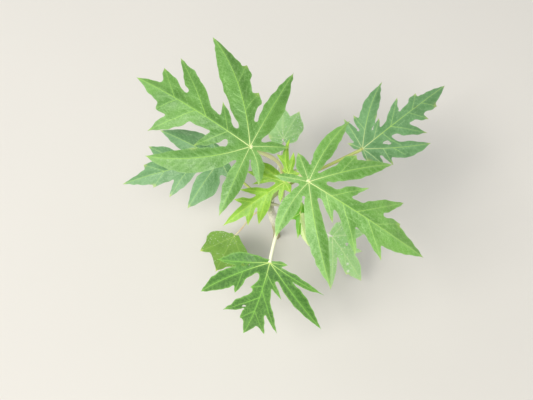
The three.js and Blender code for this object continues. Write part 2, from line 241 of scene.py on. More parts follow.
def make_piece(name: str, parts: list[tuple[Array, list]]) -> Thing:
    """Makes an object of one or more shapes that share a mesh.

    Args:
        name: The piece's name.
        parts: The corners in millimetres and the faces of each shape.

    Returns:
        The new object, smoothly shaded and without materials.
    """
    faces: list[list[int]] = []
    first = 0
    for corners, own in parts:
        faces += [[first + i for i in face] for face in own]
        first += len(corners)
    mesh = bpy.data.meshes.new(name)
    mesh.from_pydata((np.vstack([corners for corners, _ in parts]) * METRES).tolist(), [], faces)
    mesh.shade_smooth()
    thing = bpy.data.objects.new(name, mesh)
    bpy.context.collection.objects.link(thing)
    return thing


def tube(name: str, middles: Array, radii: Array) -> Thing:
    """Builds a closed tube round a line.

    Args:
        name: The piece's name.
        middles: The line's points in millimetres.
        radii: Radii, one row for each point and one column for each side.

    Returns:
        The new object, without materials.
    """
    ahead = unit(np.gradient(middles, axis=0))
    normal = np.array([1.0, 0.0, 0.0]) if abs(ahead[0][0]) <= 0.9 else np.array([0.0, 1.0, 0.0])
    turn = full_turn(radii.shape[1])[:, None]
    corners = []
    for middle, forward, reach in zip(middles, ahead, radii):
        normal = unit(normal - (normal @ forward) * forward)
        ring = np.cos(turn) * normal + np.sin(turn) * np.cross(forward, normal)
        corners.append(middle + reach[:, None] * ring)
    return make_piece(name, [(np.vstack(corners), tube_faces(*radii.shape))])


def store(thing: Thing, name: str, values: Array | list[float]) -> None:
    """Stores a number at each corner of an object's mesh."""
    attribute = thing.data.attributes.new(name, "FLOAT", "POINT")
    attribute.data.foreach_set("value", np.asarray(values, float).ravel())


def settle(thing: Thing, slot: str, node: str, *materials: Material) -> Thing:
    """Dresses a piece, lets it ride on the plant and stand for its node.

    Args:
        thing: The piece.
        slot: The record's material slot; not used.
        node: The CAD node it stands for.
        materials: The materials of its slots in order.

    Returns:
        The finished piece.
    """
    for material in materials:
        thing.data.materials.append(material)
    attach(thing, "root")
    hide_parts(node)
    return thing


# Shapes of the leaves


class Side(Enum):
    """The side of a midrib, seen from above with the tip ahead."""

    LEFT = 1
    RIGHT = -1


class Layer(Enum):
    """The material slots of a blade's mesh."""

    UPPER = 0
    UNDER = 1


class Mark(Enum):
    """What a small mark on a blade is: a dark blemish, a spot of painted highlight, or a hole."""

    DARK = "dark"
    # A spot of painted highlight: near-white colour stands in for light glinting off the blade. Its number
    # is stored under the name pale.
    PAINTED_GLINT = "pale"
    HOLE = "hole"


@dataclass(frozen=True)
class Tooth:
    """A side point of a lobe, whose vein leaves the lobe's midrib. Degrees and millimetres."""

    side: Side
    at: float
    angle: float
    length: float
    width: float
    widest: float = 0.35
    bend: float = 0.0


def left(at: float, angle: float, length: float, width: float, *rest: float) -> Tooth:
    """A side point on the left of its lobe."""
    return Tooth(Side.LEFT, at, angle, length, width, *rest)


def right(at: float, angle: float, length: float, width: float, *rest: float) -> Tooth:
    """A side point on the right of its lobe."""
    return Tooth(Side.RIGHT, at, angle, length, width, *rest)


@dataclass(frozen=True)
class Lobe:
    """One pointed lobe of a blade. Headings run from the middle lobe, lengths are in millimetres."""

    heading: float
    length: float
    width: float
    droop: float
    widest: float = 0.5
    bend: float = 0.0
    lean: float = 0.0
    neck: float = 0.4
    teeth: tuple[Tooth, ...] = ()
    pallor: float = 0.0


@dataclass(frozen=True)
class Spot:
    """A small mark on a blade, at a flat place from its junction, in millimetres."""

    x: float
    y: float
    radius: float
    mark: Mark = Mark.DARK
    stretch: float = 1.0
    heading: float = 0.0

    def ring(self) -> Array:
        """Draws the uneven outline of a hole, longer by its stretch along its heading.

        Returns:
            The outline's corners.
        """
        turn = full_turn(14)
        reach = self.radius * (1 + 0.16 * np.cos(3 * turn + self.x) + 0.08 * np.cos(5 * turn + self.y))
        along, across = self.stretch * reach * np.cos(turn), reach * np.sin(turn)
        forward = direction(math.radians(self.heading))
        return (self.x, self.y) + along[:, None] * forward + across[:, None] * (-forward[1], forward[0])


@dataclass(frozen=True)
class VeinSizes:
    """A vein's widths at base and tip, the first's growth with its length, and its depth and height."""

    base: float
    growth: float
    tip: float
    sink: float
    tall: float


class Order(Enum):
    """The orders of veins, from the midribs of lobes down to the fine ones."""

    RIB = VeinSizes(0.34, 0.0052, 0.30, 0.12, 0.42)
    BRANCH = VeinSizes(0.30, 0.006, 0.20, 0.12, 0.42)
    FINE = VeinSizes(0.24, 0.008, 0.08, 0.28, 0.5)


@dataclass
class Vein:
    """A vein drawn flat: its points, its headings in radians, and the length that its width goes by."""

    points: Array
    headings: Array
    order: Order
    length: float
    pallor: float = 0.0

    @property
    def width(self) -> Array:
        """Its full width at each point."""
        base = self.order.value.base + self.order.value.growth * self.length
        return base + (self.order.value.tip - base) * np.linspace(0, 1, len(self.points)) ** 0.8


def gap_to_veins(points: Array, veins: list[Vein]) -> Array:
    """Measures each point's distance to the nearest of some veins.

    Args:
        points: The points, one a row.
        veins: The veins.

    Returns:
        One distance for each point, or FAR if there are no veins.
    """
    if not veins:
        return np.full(len(points), FAR)
    starts = np.vstack([vein.points[:-1] for vein in veins])
    ends = np.vstack([vein.points[1:] for vein in veins])
    return gap_to_lines(points, starts, ends)


@dataclass
class Blade:
    """One leaf blade: its place, its lobes, and the meshes of its surface and its veins.

    Lengths are in millimetres and angles in degrees, but the turns of the outline are in radians.
    """

    junction: Place
    heading: float
    pitch: float
    lift: float
    web: tuple[float | tuple[float, float], ...]
    lobes: tuple[Lobe, ...]
    spots: tuple[Spot, ...] = ()
    fold: float = 20.0
    grid: float = 2.0
    thickness: float = 0.45
    vein_sides: int = 6

    # The lobes, their side points and the web between them
    neck_power: float = 1.6
    tip_power: float = 1.15
    tooth_neck: float = 0.9
    lobe_steps: int = 44
    tooth_steps: int = 20
    web_ends: float = 0.45
    web_opening: float = 1.6
    web_steps: int = 32

    # The rounds that are taken out of the notches
    scoop_turn: float = -0.75
    scoop_share: float = 0.021
    scoop_room: float = 0.42
    scoop_shift: float = 0.55
    least_scoop: float = 0.4

    # The smooth and gently waved margin
    margin_step: float = 1.2
    sharp_turn: float = 1.5
    blunt_turn: float = 0.7
    notch_turn: float = -0.3
    notch_reach: float = 5.0
    notch_pull: float = 0.6
    notch_rounds: int = 12
    corner_turn: float = 0.5
    ruffle_share: float = 0.011
    ruffle_length: float = 9.0

    # The fine veins
    least_stem: float = 14.0
    stem_start: float = 0.08
    stem_used: float = 0.86
    rib_spacing: float = 5.0
    spacing_growth: float = 0.025
    branch_spacing: float = 5.5
    least_fine: int = 4
    most_fine: int = 60
    fine_angle: float = 56.0
    fine_lean: float = 16.0
    fine_curve: float = 1.5
    rim_gap: float = 1.3
    vein_gap: float = 1.4

    # The folds, the furrows and the waves, with the distances and the blade's size at which they are full
    fold_reach: float = 16.0
    fold_start: float = 0.22
    rib_weight: float = 0.45
    quilting: float = 0.36
    quilt_width: float = 1.8
    quilt_start: tuple[float, float] = (0.5, 3.0)
    quilt_size: float = 80.0
    waviness: float = 1.6
    wave_length: float = 15.0
    wave_start: tuple[float, float] = (1.0, 9.0)
    wave_size: float = 90.0

    # How far the mesh's points keep from the margin and the veins, in steps of its grid
    rim_clear: float = 0.45
    vein_clear: float = 0.4

    # The distances over which the colours of veins, margin and tips fade
    rib_glow: tuple[float, float] = (0.3, 3.2)
    vein_glow: tuple[float, float] = (0.2, 1.4)
    fine_glow: tuple[float, float] = (0.1, 1.1)
    fine_share: float = 0.7
    rim_glow: tuple[float, float] = (0.0, 1.6)
    tip_glow: tuple[float, float] = (1.0, 7.0)

    # What draw works out
    loop: Array = field(init=False)
    midribs: list[Vein] = field(default_factory=list, init=False)
    branches: list[Vein] = field(default_factory=list, init=False)
    fine: list[Vein] = field(default_factory=list, init=False)

    @property
    def stems(self) -> list[Vein]:
        """The midribs and the veins of the side points."""
        return self.midribs + self.branches

    @property
    def size(self) -> float:
        """The length of the longest lobe."""
        return max(lobe.length for lobe in self.lobes)

    @property
    def axes(self) -> Array:
        """The blade's turn and pitch as a matrix.

        Returns:
            The matrix, whose third column points up from the blade.
        """
        (pitch_cos, pitch_sin), (turn_cos, turn_sin) = direction(np.radians([self.pitch, self.heading]))
        turned = np.array([[turn_cos, -turn_sin, 0], [turn_sin, turn_cos, 0], [0, 0, 1]])
        pitched = np.array([[pitch_cos, 0, pitch_sin], [0, 1, 0], [-pitch_sin, 0, pitch_cos]])
        return turned @ pitched

    # The flat outline

    def margin(self, line: Line, width: float, widest: float, lean: float, neck: float) -> Array:
        """Draws a lobe or a side point round its vein: a neck, a widest place and a pointed tip.

        Args:
            line: The vein's points and headings.
            width: Its greatest width.
            widest: The share of the length where it has it.
            lean: How far the width moves to the left half.
            neck: The share of the width at its base.

        Returns:
            The outline's corners.
        """
        points, headings = line
        share = np.linspace(0, 1, len(points))
        rise = neck + (1 - neck) * np.sin(np.pi / 2 * np.minimum(share / widest, 1)) ** self.neck_power
        fall = np.cos(np.pi / 2 * np.clip((share - widest) / (1 - widest), 0, 1)) ** self.tip_power
        reach = aside(headings) * (width / 2 * np.where(share < widest, rise, fall))[:, None]
        lefts, rights = points + reach * (1 + lean), points - reach * (1 - lean)
        return np.vstack([rights[:-1], points[-1:], lefts[-2::-1]])

    def web_outline(self) -> Array:
        """Draws the joined part round the junction: its own outline, or a web that is open at the back.

        Returns:
            The outline's corners.
        """
        if len(self.web) > 2:
            return spline(np.array(self.web, float), np.linspace(0, 1, 6 * (len(self.web) - 1) + 1))[1:]
        headings = [lobe.heading for lobe in self.lobes]
        share = np.linspace(0, 1, self.web_steps + 1)
        turn = np.radians(min(headings) + (max(headings) - min(headings)) * share)
        inward = np.minimum(1, self.web_ends + self.web_opening * np.minimum(share, 1 - share))
        front, back = self.web
        reach = inward * (back + (front - back) * np.cos(turn / 2) ** 2)
        return np.vstack([[[0.0, 0.0]], direction(turn) * reach[:, None]])

    def shapes(self) -> list[Array]:
        """Draws every lobe, side point and the web, and keeps their veins.

        Returns:
            Their outlines.
        """
        found = [self.web_outline()]
        for lobe in self.lobes:
            line = trace(np.zeros(2), lobe.heading, lobe.length, lobe.bend, self.lobe_steps)
            found.append(self.margin(line, lobe.width, lobe.widest, lobe.lean, lobe.neck))
            self.midribs.append(Vein(*line, Order.RIB, lobe.length, lobe.pallor))
            for tooth in lobe.teeth:
                at, way = round(tooth.at * self.lobe_steps), tooth.side.value
                heading = math.degrees(line[1][at]) + way * tooth.angle
                stem = trace(line[0][at], heading, tooth.length, way * tooth.bend, self.tooth_steps)
                found.append(self.margin(stem, tooth.width, tooth.widest, 0.0, self.tooth_neck))
                self.branches.append(Vein(*stem, Order.BRANCH, tooth.length, lobe.pallor))
        return found

    @staticmethod
    def union(shapes: list[Array], scoops: tuple[Array, ...] = ()) -> Array:
        """Joins overlapping outlines into one.

        Args:
            shapes: The outlines.
            scoops: Outlines of what is taken away from them.

        Returns:
            The corners of the outer outline, anticlockwise.
        """
        corners: list[Vector] = []
        faces: list[list[int]] = []
        for shape in (*shapes, *scoops):
            faces.append(list(range(len(corners), len(corners) + len(shape))))
            corners += vectors(shape)
        points, _, triangles, _, _, sources = geometry.delaunay_2d_cdt(corners, [], faces, 0, WELD)
        edges = set()
        for triangle, source in zip(triangles, sources):
            if source and max(source) < len(shapes):
                edges |= {(triangle[k], triangle[(k + 1) % 3]) for k in range(3)}
        onward: dict[int, list[int]] = {}
        for a, b in edges:
            if (b, a) not in edges:
                onward.setdefault(a, []).append(b)
        loops = []
        while onward:
            ring = [min(onward)]
            while len(ring) == 1 or ring[-1] != ring[0]:
                here = ring[-1]
                ring.append(onward[here].pop())
                if not onward[here]:
                    del onward[here]
            loops.append(np.array([points[i][:] for i in ring[:-1]]))
        return max(loops, key=lambda loop: float(np.ptp(loop, 0).sum()))

    @staticmethod
    def turns(loop: Array) -> Array:
        """The turn to the left at each corner of an outline, in radians."""
        came, goes = loop - np.roll(loop, 1, 0), np.roll(loop, -1, 0) - loop
        return np.arctan2(came[:, 0] * goes[:, 1] - came[:, 1] * goes[:, 0], (came * goes).sum(1))

    def scoops(self, loop: Array) -> tuple[Array, ...]:
        """Draws the round end of the notch between each two lobes or side points.

        Args:
            loop: The outline with its sharp notches.

        Returns:
            The outlines of the rounds to take away.
        """
        found = []
        for i in np.where(self.turns(loop) < self.scoop_turn)[0]:
            here = loop[i]
            inward = unit(unit(loop[(i + 1) % len(loop)] - here) - unit(here - loop[i - 1]))
            room = float(gap_to_veins(here[None], self.stems)[0])
            radius = min(self.scoop_share * self.size, self.scoop_room * room)
            if radius > self.least_scoop:
                found.append(here + self.scoop_shift * radius * inward + radius * direction(full_turn(20)))
        return tuple(found)

    def soften(self, loop: Array) -> Array:
        """Spaces an outline evenly and rounds its notches, leaving its points sharp.

        Args:
            loop: The outline's corners.

        Returns:
            The new outline.
        """
        turn = self.turns(loop)
        sharp = np.where(turn > self.sharp_turn)[0]
        blunt = (turn > self.blunt_turn) & (turn < self.sharp_turn)
        notch = loop[(turn < self.notch_turn) | blunt]
        points: list[Array] = []
        fixed: list[bool] = []
        for a, b in zip(sharp, np.roll(sharp, -1)):
            run = loop[a : b + 1] if b > a else np.vstack([loop[a:], loop[: b + 1]])
            lengths = np.concatenate([[0], np.cumsum(np.hypot(*np.diff(run, axis=0).T))])
            count = max(1, round(lengths[-1] / self.margin_step))
            at = np.linspace(0, lengths[-1], count + 1)[:-1]
            points.append(np.stack([np.interp(at, lengths, run[:, k]) for k in (0, 1)], 1))
            fixed += [True] + [False] * (count - 1)
        even = np.vstack(points)
        pull = self.notch_pull * np.where(fixed, 0, hump(gap_to_points(even, notch), self.notch_reach))
        for _ in range(self.notch_rounds):
            middle = (np.roll(even, 1, 0) + np.roll(even, -1, 0)) / 2
            even = even + pull[:, None] * (middle - even)
        return even

    def ruffle(self, loop: Array) -> Array:
        """Waves the margin gently in and out, except near its points and notches.

        Args:
            loop: The smooth outline.

        Returns:
            The waved outline.
        """
        corners = loop[np.abs(self.turns(loop)) > self.corner_turn]
        forward = unit(np.roll(loop, -1, 0) - np.roll(loop, 1, 0))
        wave = noise_at(*loop.T / self.ruffle_length, self.heading)
        free = smooth(gap_to_points(loop, corners), 0.5, self.ruffle_length)
        reach = self.ruffle_share * self.size * wave * free
        return loop + forward[:, ::-1] * (1, -1) * reach[:, None]

    def gap_to_rim(self, points: Array) -> Array:
        """Each point's distance to the margin."""
        return gap_to_lines(points, self.loop, np.roll(self.loop, -1, 0))

    # Fine veins

    def grow_fine_veins(self) -> None:
        """Adds the fine veins that leave the stems and curve towards the margin."""
        stems = self.stems
        owner = [number for number, stem in enumerate(stems) for _ in stem.points]
        stem_points = [point for stem in stems for point in stem.points]
        near = (search_tree(stem_points), owner, search_tree(list(self.loop)))
        for number, stem in enumerate(stems):
            length = float(np.hypot(*np.diff(stem.points, axis=0).T).sum())
            spacing = self.rib_spacing + length * self.spacing_growth
            if stem.order is Order.BRANCH:
                spacing = self.branch_spacing
            count = int(length * self.stem_used / spacing) if length >= self.least_stem else 0
            for k in range(2 * count):
                share = self.stem_start + self.stem_used * (k + 0.5) / (2 * count)
                self.grow_fine_vein(number, share, 1 if k % 2 else -1, near)

    def grow_fine_vein(self, number: int, share: float, way: int, near: Surroundings) -> None:
        """Follows one fine vein out from its stem until it meets the margin or another vein.

        Args:
            number: The stem's number.
            share: How far along the stem it leaves.
            way: 1 for the left side and -1 for the right.
            near: A search tree of the stems' points, the stem of each, and a search tree of the margin.
        """
        tree, owner, rim = near
        stem = self.stems[number]
        at, part = divmod(share * (len(stem.points) - 1), 1)
        at = int(at)
        here = stem.points[at] + (stem.points[at + 1] - stem.points[at]) * part
        heading = stem.headings[at] + way * math.radians(self.fine_angle - self.fine_lean * share)
        points, headings = [here], [heading]
        while len(points) < self.most_fine:
            here = here + direction(heading)
            heading -= way * math.radians(self.fine_curve)
            _, found, gap = tree.find((*here, 0))
            if rim.find((*here, 0))[2] < self.rim_gap or (owner[found] != number and gap < self.vein_gap):
                break
            points.append(here)
            headings.append(heading)
        if len(points) >= self.least_fine:
            self.fine.append(Vein(np.array(points), np.array(headings), Order.FINE, len(points)))

    # Relief and bending

    def droop_rate(self, heading: Array) -> Array:
        """How fast the blade turns down along a heading, smooth between lobes.

        Args:
            heading: Headings from the middle lobe, in degrees.

        Returns:
            One rate for each heading, in radians per millimetre.
        """
        ring = sorted(
            (lobe.heading % 360, math.radians(lobe.droop + self.lift) / lobe.length) for lobe in self.lobes
        )
        (first, first_rate), (last, last_rate) = ring[0], ring[-1]
        angles, rates = np.array([(last - 360, last_rate), *ring, (first + 360, first_rate)]).T
        wanted = heading % 360
        high = np.clip(np.searchsorted(angles, wanted), 1, len(angles) - 1)
        share = smooth((wanted - angles[high - 1]) / (angles[high] - angles[high - 1]), 0, 1)
        return rates[high - 1] + (rates[high] - rates[high - 1]) * share

    def relief(self, flat: Array) -> Array:
        """Gives the height of the blade's folds over its flat shape.

        Each half of a lobe falls away from its midrib, fine veins lie in shallow furrows, and the
        margin waves.

        Args:
            flat: Flat places, one a row.

        Returns:
            Heights in millimetres.
        """
        from_rib = gap_to_veins(flat, self.midribs)
        from_stem = np.minimum(from_rib, gap_to_veins(flat, self.branches))
        gap = self.rib_weight * from_rib + (1 - self.rib_weight) * from_stem
        fall = self.fold_reach * (1 - np.exp(-gap / self.fold_reach))
        opening = smooth(np.hypot(*flat.T), 0, self.fold_start * self.size)
        height = -math.tan(math.radians(self.fold)) * fall * opening
        if self.fine:
            furrow = smooth(gap_to_veins(flat, self.fine + self.branches), 0.0, self.quilt_width)
            full = smooth(from_rib, *self.quilt_start) * min(1.0, self.size / self.quilt_size)
            height += self.quilting * furrow * full
        x, y = flat.T / self.wave_length
        wave = noise_at(x + self.heading, y + self.pitch, 3.0)
        full = smooth(from_rib, *self.wave_start) * min(1.0, self.size / self.wave_size)
        return height + self.waviness * wave * full

    def place(self, flat: Array, height: Array) -> Array:
        """Bends flat places down along their lobes, then turns and moves them to the junction.

        Args:
            flat: Flat places.
            height: Heights above the bent blade.

        Returns:
            Places in the frame, in millimetres.
        """
        heading = np.arctan2(flat[:, 1], flat[:, 0])
        lift = math.radians(self.lift)
        rate = self.droop_rate(np.degrees(heading))
        angle = rate * np.hypot(*flat.T) - lift
        across = (np.sin(angle) + math.sin(lift)) / rate + height * np.sin(angle)
        rise = (np.cos(angle) - math.cos(lift)) / rate + height * np.cos(angle)
        return np.column_stack([direction(heading) * across[:, None], rise]) @ self.axes.T + self.junction

    # Meshes

    def draw(self) -> None:
        """Works out the outline and all veins."""
        shapes = self.shapes()
        scoops = self.scoops(self.union(shapes))
        self.loop = self.ruffle(self.soften(self.union(shapes, scoops)))
        self.grow_fine_veins()

    def surface_points(self) -> tuple[Array, Array, list[list[int]]]:
        """Spreads points over the blade and joins them into triangles.

        Returns:
            The flat points, the triangles, and the points round the margin and round each hole.
        """
        low, high = self.loop.min(0), self.loop.max(0)
        rows = np.arange(low[1], high[1], self.grid * math.sqrt(3) / 2)
        grid = np.vstack([
            [(x, y) for x in np.arange(low[0] + (i % 2) * self.grid / 2, high[0], self.grid)]
            for i, y in enumerate(rows)
        ])
        grid = grid[inside(grid, self.loop)]
        grid = grid[self.gap_to_rim(grid) > self.rim_clear * self.grid]
        grid = grid[gap_to_veins(grid, self.stems) > self.vein_clear * self.grid]
        corners, edges = vectors(self.loop), []
        bounds = [list(range(len(corners)))]
        for stem in self.stems:
            first, count = len(corners), len(stem.points) - 1
            corners += vectors(stem.points[:count])
            edges += [(i, i + 1) for i in range(first, first + count - 1)]
        corners += vectors(grid)
        holes = [spot.ring() for spot in self.spots if spot.mark is Mark.HOLE]
        for hole in holes:
            bounds.append(list(range(len(corners), len(corners) + len(hole)))[::-1])
            edges += list(zip(bounds[-1], bounds[-1][1:] + bounds[-1][:1]))
            corners += vectors(hole)
        points, _, triangles, sources, _, _ = geometry.delaunay_2d_cdt(corners, edges, bounds[:1], 1, WELD)
        flat, faces = np.array([p[:] for p in points]), np.array(triangles)
        for hole in holes:
            faces = faces[~inside(flat[faces].mean(1), hole)]
        order = {old: new for new, source in enumerate(sources) for old in source}
        return flat, faces, [[order[i] for i in bound] for bound in bounds]

    def tint(self, flat: Array) -> dict[str, Array]:
        """Works out the numbers that the leaf's material reads at each place.

        Args:
            flat: Flat places.

        Returns:
            Named numbers from 0 to 1: nearness to veins, to the margin and to a tip, pallor, dark spots, and
                spots of painted highlight.
        """
        stems = self.stems
        ends = np.array([stem.points[-1] for stem in stems])
        ends = ends[self.gap_to_rim(ends) < 0.5]
        nearest = np.stack([gap_to_veins(flat, [stem]) for stem in stems], 1).argmin(1)
        marks = {mark: np.zeros(len(flat)) for mark in Mark}
        for spot in self.spots:
            gap = np.hypot(flat[:, 0] - spot.x, flat[:, 1] - spot.y)
            within = 1 - smooth(gap, 0.5 * spot.radius, 1.3 * spot.radius)
            marks[spot.mark] = np.maximum(marks[spot.mark], within)
        fine = self.fine_share * (1 - smooth(gap_to_veins(flat, self.fine), *self.fine_glow))
        return {
            "rib": 1 - smooth(gap_to_veins(flat, self.midribs), *self.rib_glow),
            "vein": np.maximum(1 - smooth(gap_to_veins(flat, stems), *self.vein_glow), fine),
            # Nearness to the margin, which is lightened partly as its own colour and partly as a painted
            # highlight.
            "rim": 1 - smooth(self.gap_to_rim(flat), *self.rim_glow),
            "tip": 1 - smooth(gap_to_points(flat, ends), *self.tip_glow),
            "pallor": np.array([stem.pallor for stem in stems])[nearest],
            "dark": marks[Mark.DARK],
            # Spots of painted highlight, where near-white colour stands in for light glinting off the blade.
            "pale": marks[Mark.PAINTED_GLINT],
        }

    def surface(self, name: str) -> Thing:
        """Builds the blade's thin closed mesh.

        Args:
            name: The piece's name.

        Returns:
            The new object, without materials.
        """
        flat, faces, rings = self.surface_points()
        top = self.place(flat, self.relief(flat))
        a, b, c = (top[faces[:, k]] for k in range(3))
        normals = np.zeros_like(top)
        for k in range(3):
            np.add.at(normals, faces[:, k], np.cross(b - a, c - a))
        normals /= np.maximum(np.linalg.norm(normals, axis=1), 1e-9)[:, None]
        count = len(top)
        upper, under = faces.tolist(), (faces[:, ::-1] + count).tolist()
        walls = [
            [i, ring[at - 1], ring[at - 1] + count, i + count]
            for ring in rings
            for at, i in enumerate(ring)
        ]
        corners = np.vstack([top, top - normals * self.thickness])
        thing = make_piece(name, [(corners, upper + under + walls)])
        layers = [Layer.UPPER] * len(upper) + [Layer.UNDER] * len(under) + [Layer.UPPER] * len(walls)
        thing.data.polygons.foreach_set("material_index", [layer.value for layer in layers])
        rim = {i + shift for ring in rings for i in ring for shift in (0, count)}
        for edge in thing.data.edges:
            ends = edge.vertices
            edge.use_edge_sharp = rim.issuperset(ends) and (ends[0] < count) == (ends[1] < count)
        for label, values in self.tint(flat).items():
            store(thing, label, np.tile(values, 2))
        thing.data.validate()
        return thing

    def vein_tube(self, vein: Vein) -> Array:
        """Draws one raised vein as a thin closed tube that follows the blade.

        Args:
            vein: The vein.

        Returns:
            Its corners in the frame, ring after ring.
        """
        sizes, width, turn = vein.order.value, vein.width[:, None], full_turn(self.vein_sides)
        reach = (width / 2 * np.cos(turn)[None])[:, :, None]
        flat = vein.points[:, None] + aside(vein.headings)[:, None] * reach
        height = self.relief(vein.points)[:, None] - sizes.sink * width
        height = height + width * sizes.tall * np.sin(turn)[None]
        return self.place(flat.reshape(-1, 2), height.reshape(-1))

    def veins(self, name: str) -> Thing:
        """Builds all the blade's veins as one mesh.

        Args:
            name: The piece's name.

        Returns:
            The new object, without materials.
        """
        every = self.stems + self.fine
        tubes = [(self.vein_tube(vein), tube_faces(len(vein.points), self.vein_sides)) for vein in every]
        thing = make_piece(name, tubes)
        fine = np.concatenate([np.full(len(v.points), float(v.order is Order.FINE)) for v in every])
        reach = np.hypot(*np.vstack([v.points for v in every]).T) / self.lobes[0].length
        store(thing, "fine", np.repeat(fine, self.vein_sides))
        store(thing, "outward", np.repeat(smooth(reach, 0.0, 0.28), self.vein_sides))
        return thing


# Finishes


class Cells(Enum):
    """What a pattern of cells gives the distance to."""

    BORDER = "DISTANCE_TO_EDGE"
    MIDDLE = "F1"


class ShaderGraph:
    """A material under construction, with one Principled shader and short calls for its nodes."""

    def __init__(self, name: str, color: str) -> None:
        """Starts a material.

        Args:
            name: The material's name.
            color: The screen colour that others are blended into.
        """
        self.material = bpy.data.materials.new(name)
        self.material.use_nodes = True
        self.tree = self.material.node_tree
        self.tree.nodes.clear()
        self.color: Socket | Color = srgb(color)
        self.shader = self.tree.nodes.new("ShaderNodeBsdfPrincipled")
        output = self.tree.nodes.new("ShaderNodeOutputMaterial")
        self.feed(output.inputs["Surface"], self.shader.outputs["BSDF"])
        self.place = self.add("TexCoord", "Object")

    def feed(self, socket: Socket, value: object) -> None:
        """Links a socket to another node's output, or sets it to a plain value.

        Args:
            socket: The socket.
            value: The output or the value.
        """
        if isinstance(value, Socket):
            self.tree.links.new(value, socket)
        else:
            socket.default_value = value

    def add(self, kind: str, output: str | int, inputs: dict | None = None, **settings: str) -> Socket:
        """Adds a node.

        Args:
            kind: Its type.
            output: The output that is wanted.
            inputs: What its inputs are fed with.
            settings: Its other settings.

        Returns:
            The output.
        """
        node = self.tree.nodes.new("ShaderNode" + kind)
        for label, setting in settings.items():
            setattr(node, label, setting)
        for label, value in (inputs or {}).items():
            self.feed(node.inputs[label], value)
        return node.outputs[output]

    def cloud(self, scale: float) -> Socket:
        """A soft cloudy pattern from 0 to 1."""
        return self.add("TexNoise", "Fac", {"Vector": self.place, "Scale": scale, "Detail": 3.0})

    def cells(self, scale: float, kind: Cells) -> Socket:
        """A pattern of cells: the distance to the nearest border or middle."""
        inputs = {"Vector": self.place, "Scale": scale}
        return self.add("TexVoronoi", "Distance", inputs, feature=kind.value)

    def stored(self, name: str) -> Socket:
        """A number stored on the mesh."""
        return self.add("Attribute", "Fac", attribute_name=name)

    def span(self, value: Socket, low: float, high: float, to_low: float = 0, to_high: float = 1) -> Socket:
        """Maps a range of a number smoothly to another range."""
        ends = {"From Min": low, "From Max": high, "To Min": to_low, "To Max": to_high}
        return self.add("MapRange", "Result", {"Value": value, **ends}, interpolation_type="SMOOTHSTEP")

    def sum(self, a: Socket, b: Socket) -> Socket:
        """Adds two numbers."""
        return self.add("Math", 0, {0: a, 1: b}, operation="ADD")

    def times(self, a: Socket, b: Socket | float) -> Socket:
        """Multiplies two numbers."""
        return self.add("Math", 0, {0: a, 1: b}, operation="MULTIPLY")

    def blend(self, share: Socket, code: str, strength: float = 1.0) -> None:
        """Blends a screen colour into the surface's colour.

        Args:
            share: How much of it each place takes.
            code: The colour.
            strength: What the share is multiplied by.
        """
        if strength != 1.0:
            share = self.times(share, strength)
        self.color = self.add("Mix", 2, {0: share, 6: self.color, 7: srgb(code)}, data_type="RGBA")

    def bump(self, height: Socket, depth: float, strength: float) -> None:
        """Lets a pattern of heights tilt the surface, to a depth in metres."""
        tilt = self.add("Bump", "Normal", {"Height": height, "Distance": depth, "Strength": strength})
        self.feed(self.shader.inputs["Normal"], tilt)

    def uneven(self, scale: float, low: float, high: float) -> Socket:
        """A cloudy roughness between two values."""
        return self.span(self.cloud(scale), 0.3, 0.7, low, high)

    def finish(self, roughness: Socket | float, gloss: float = 0.5) -> Material:
        """Sets the shader's main sockets.

        Args:
            roughness: The roughness.
            gloss: The strength of reflections.

        Returns:
            The material.
        """
        self.feed(self.shader.inputs["Base Color"], self.color)
        self.feed(self.shader.inputs["Roughness"], roughness)
        self.shader.inputs["Specular IOR Level"].default_value = gloss
        return self.material


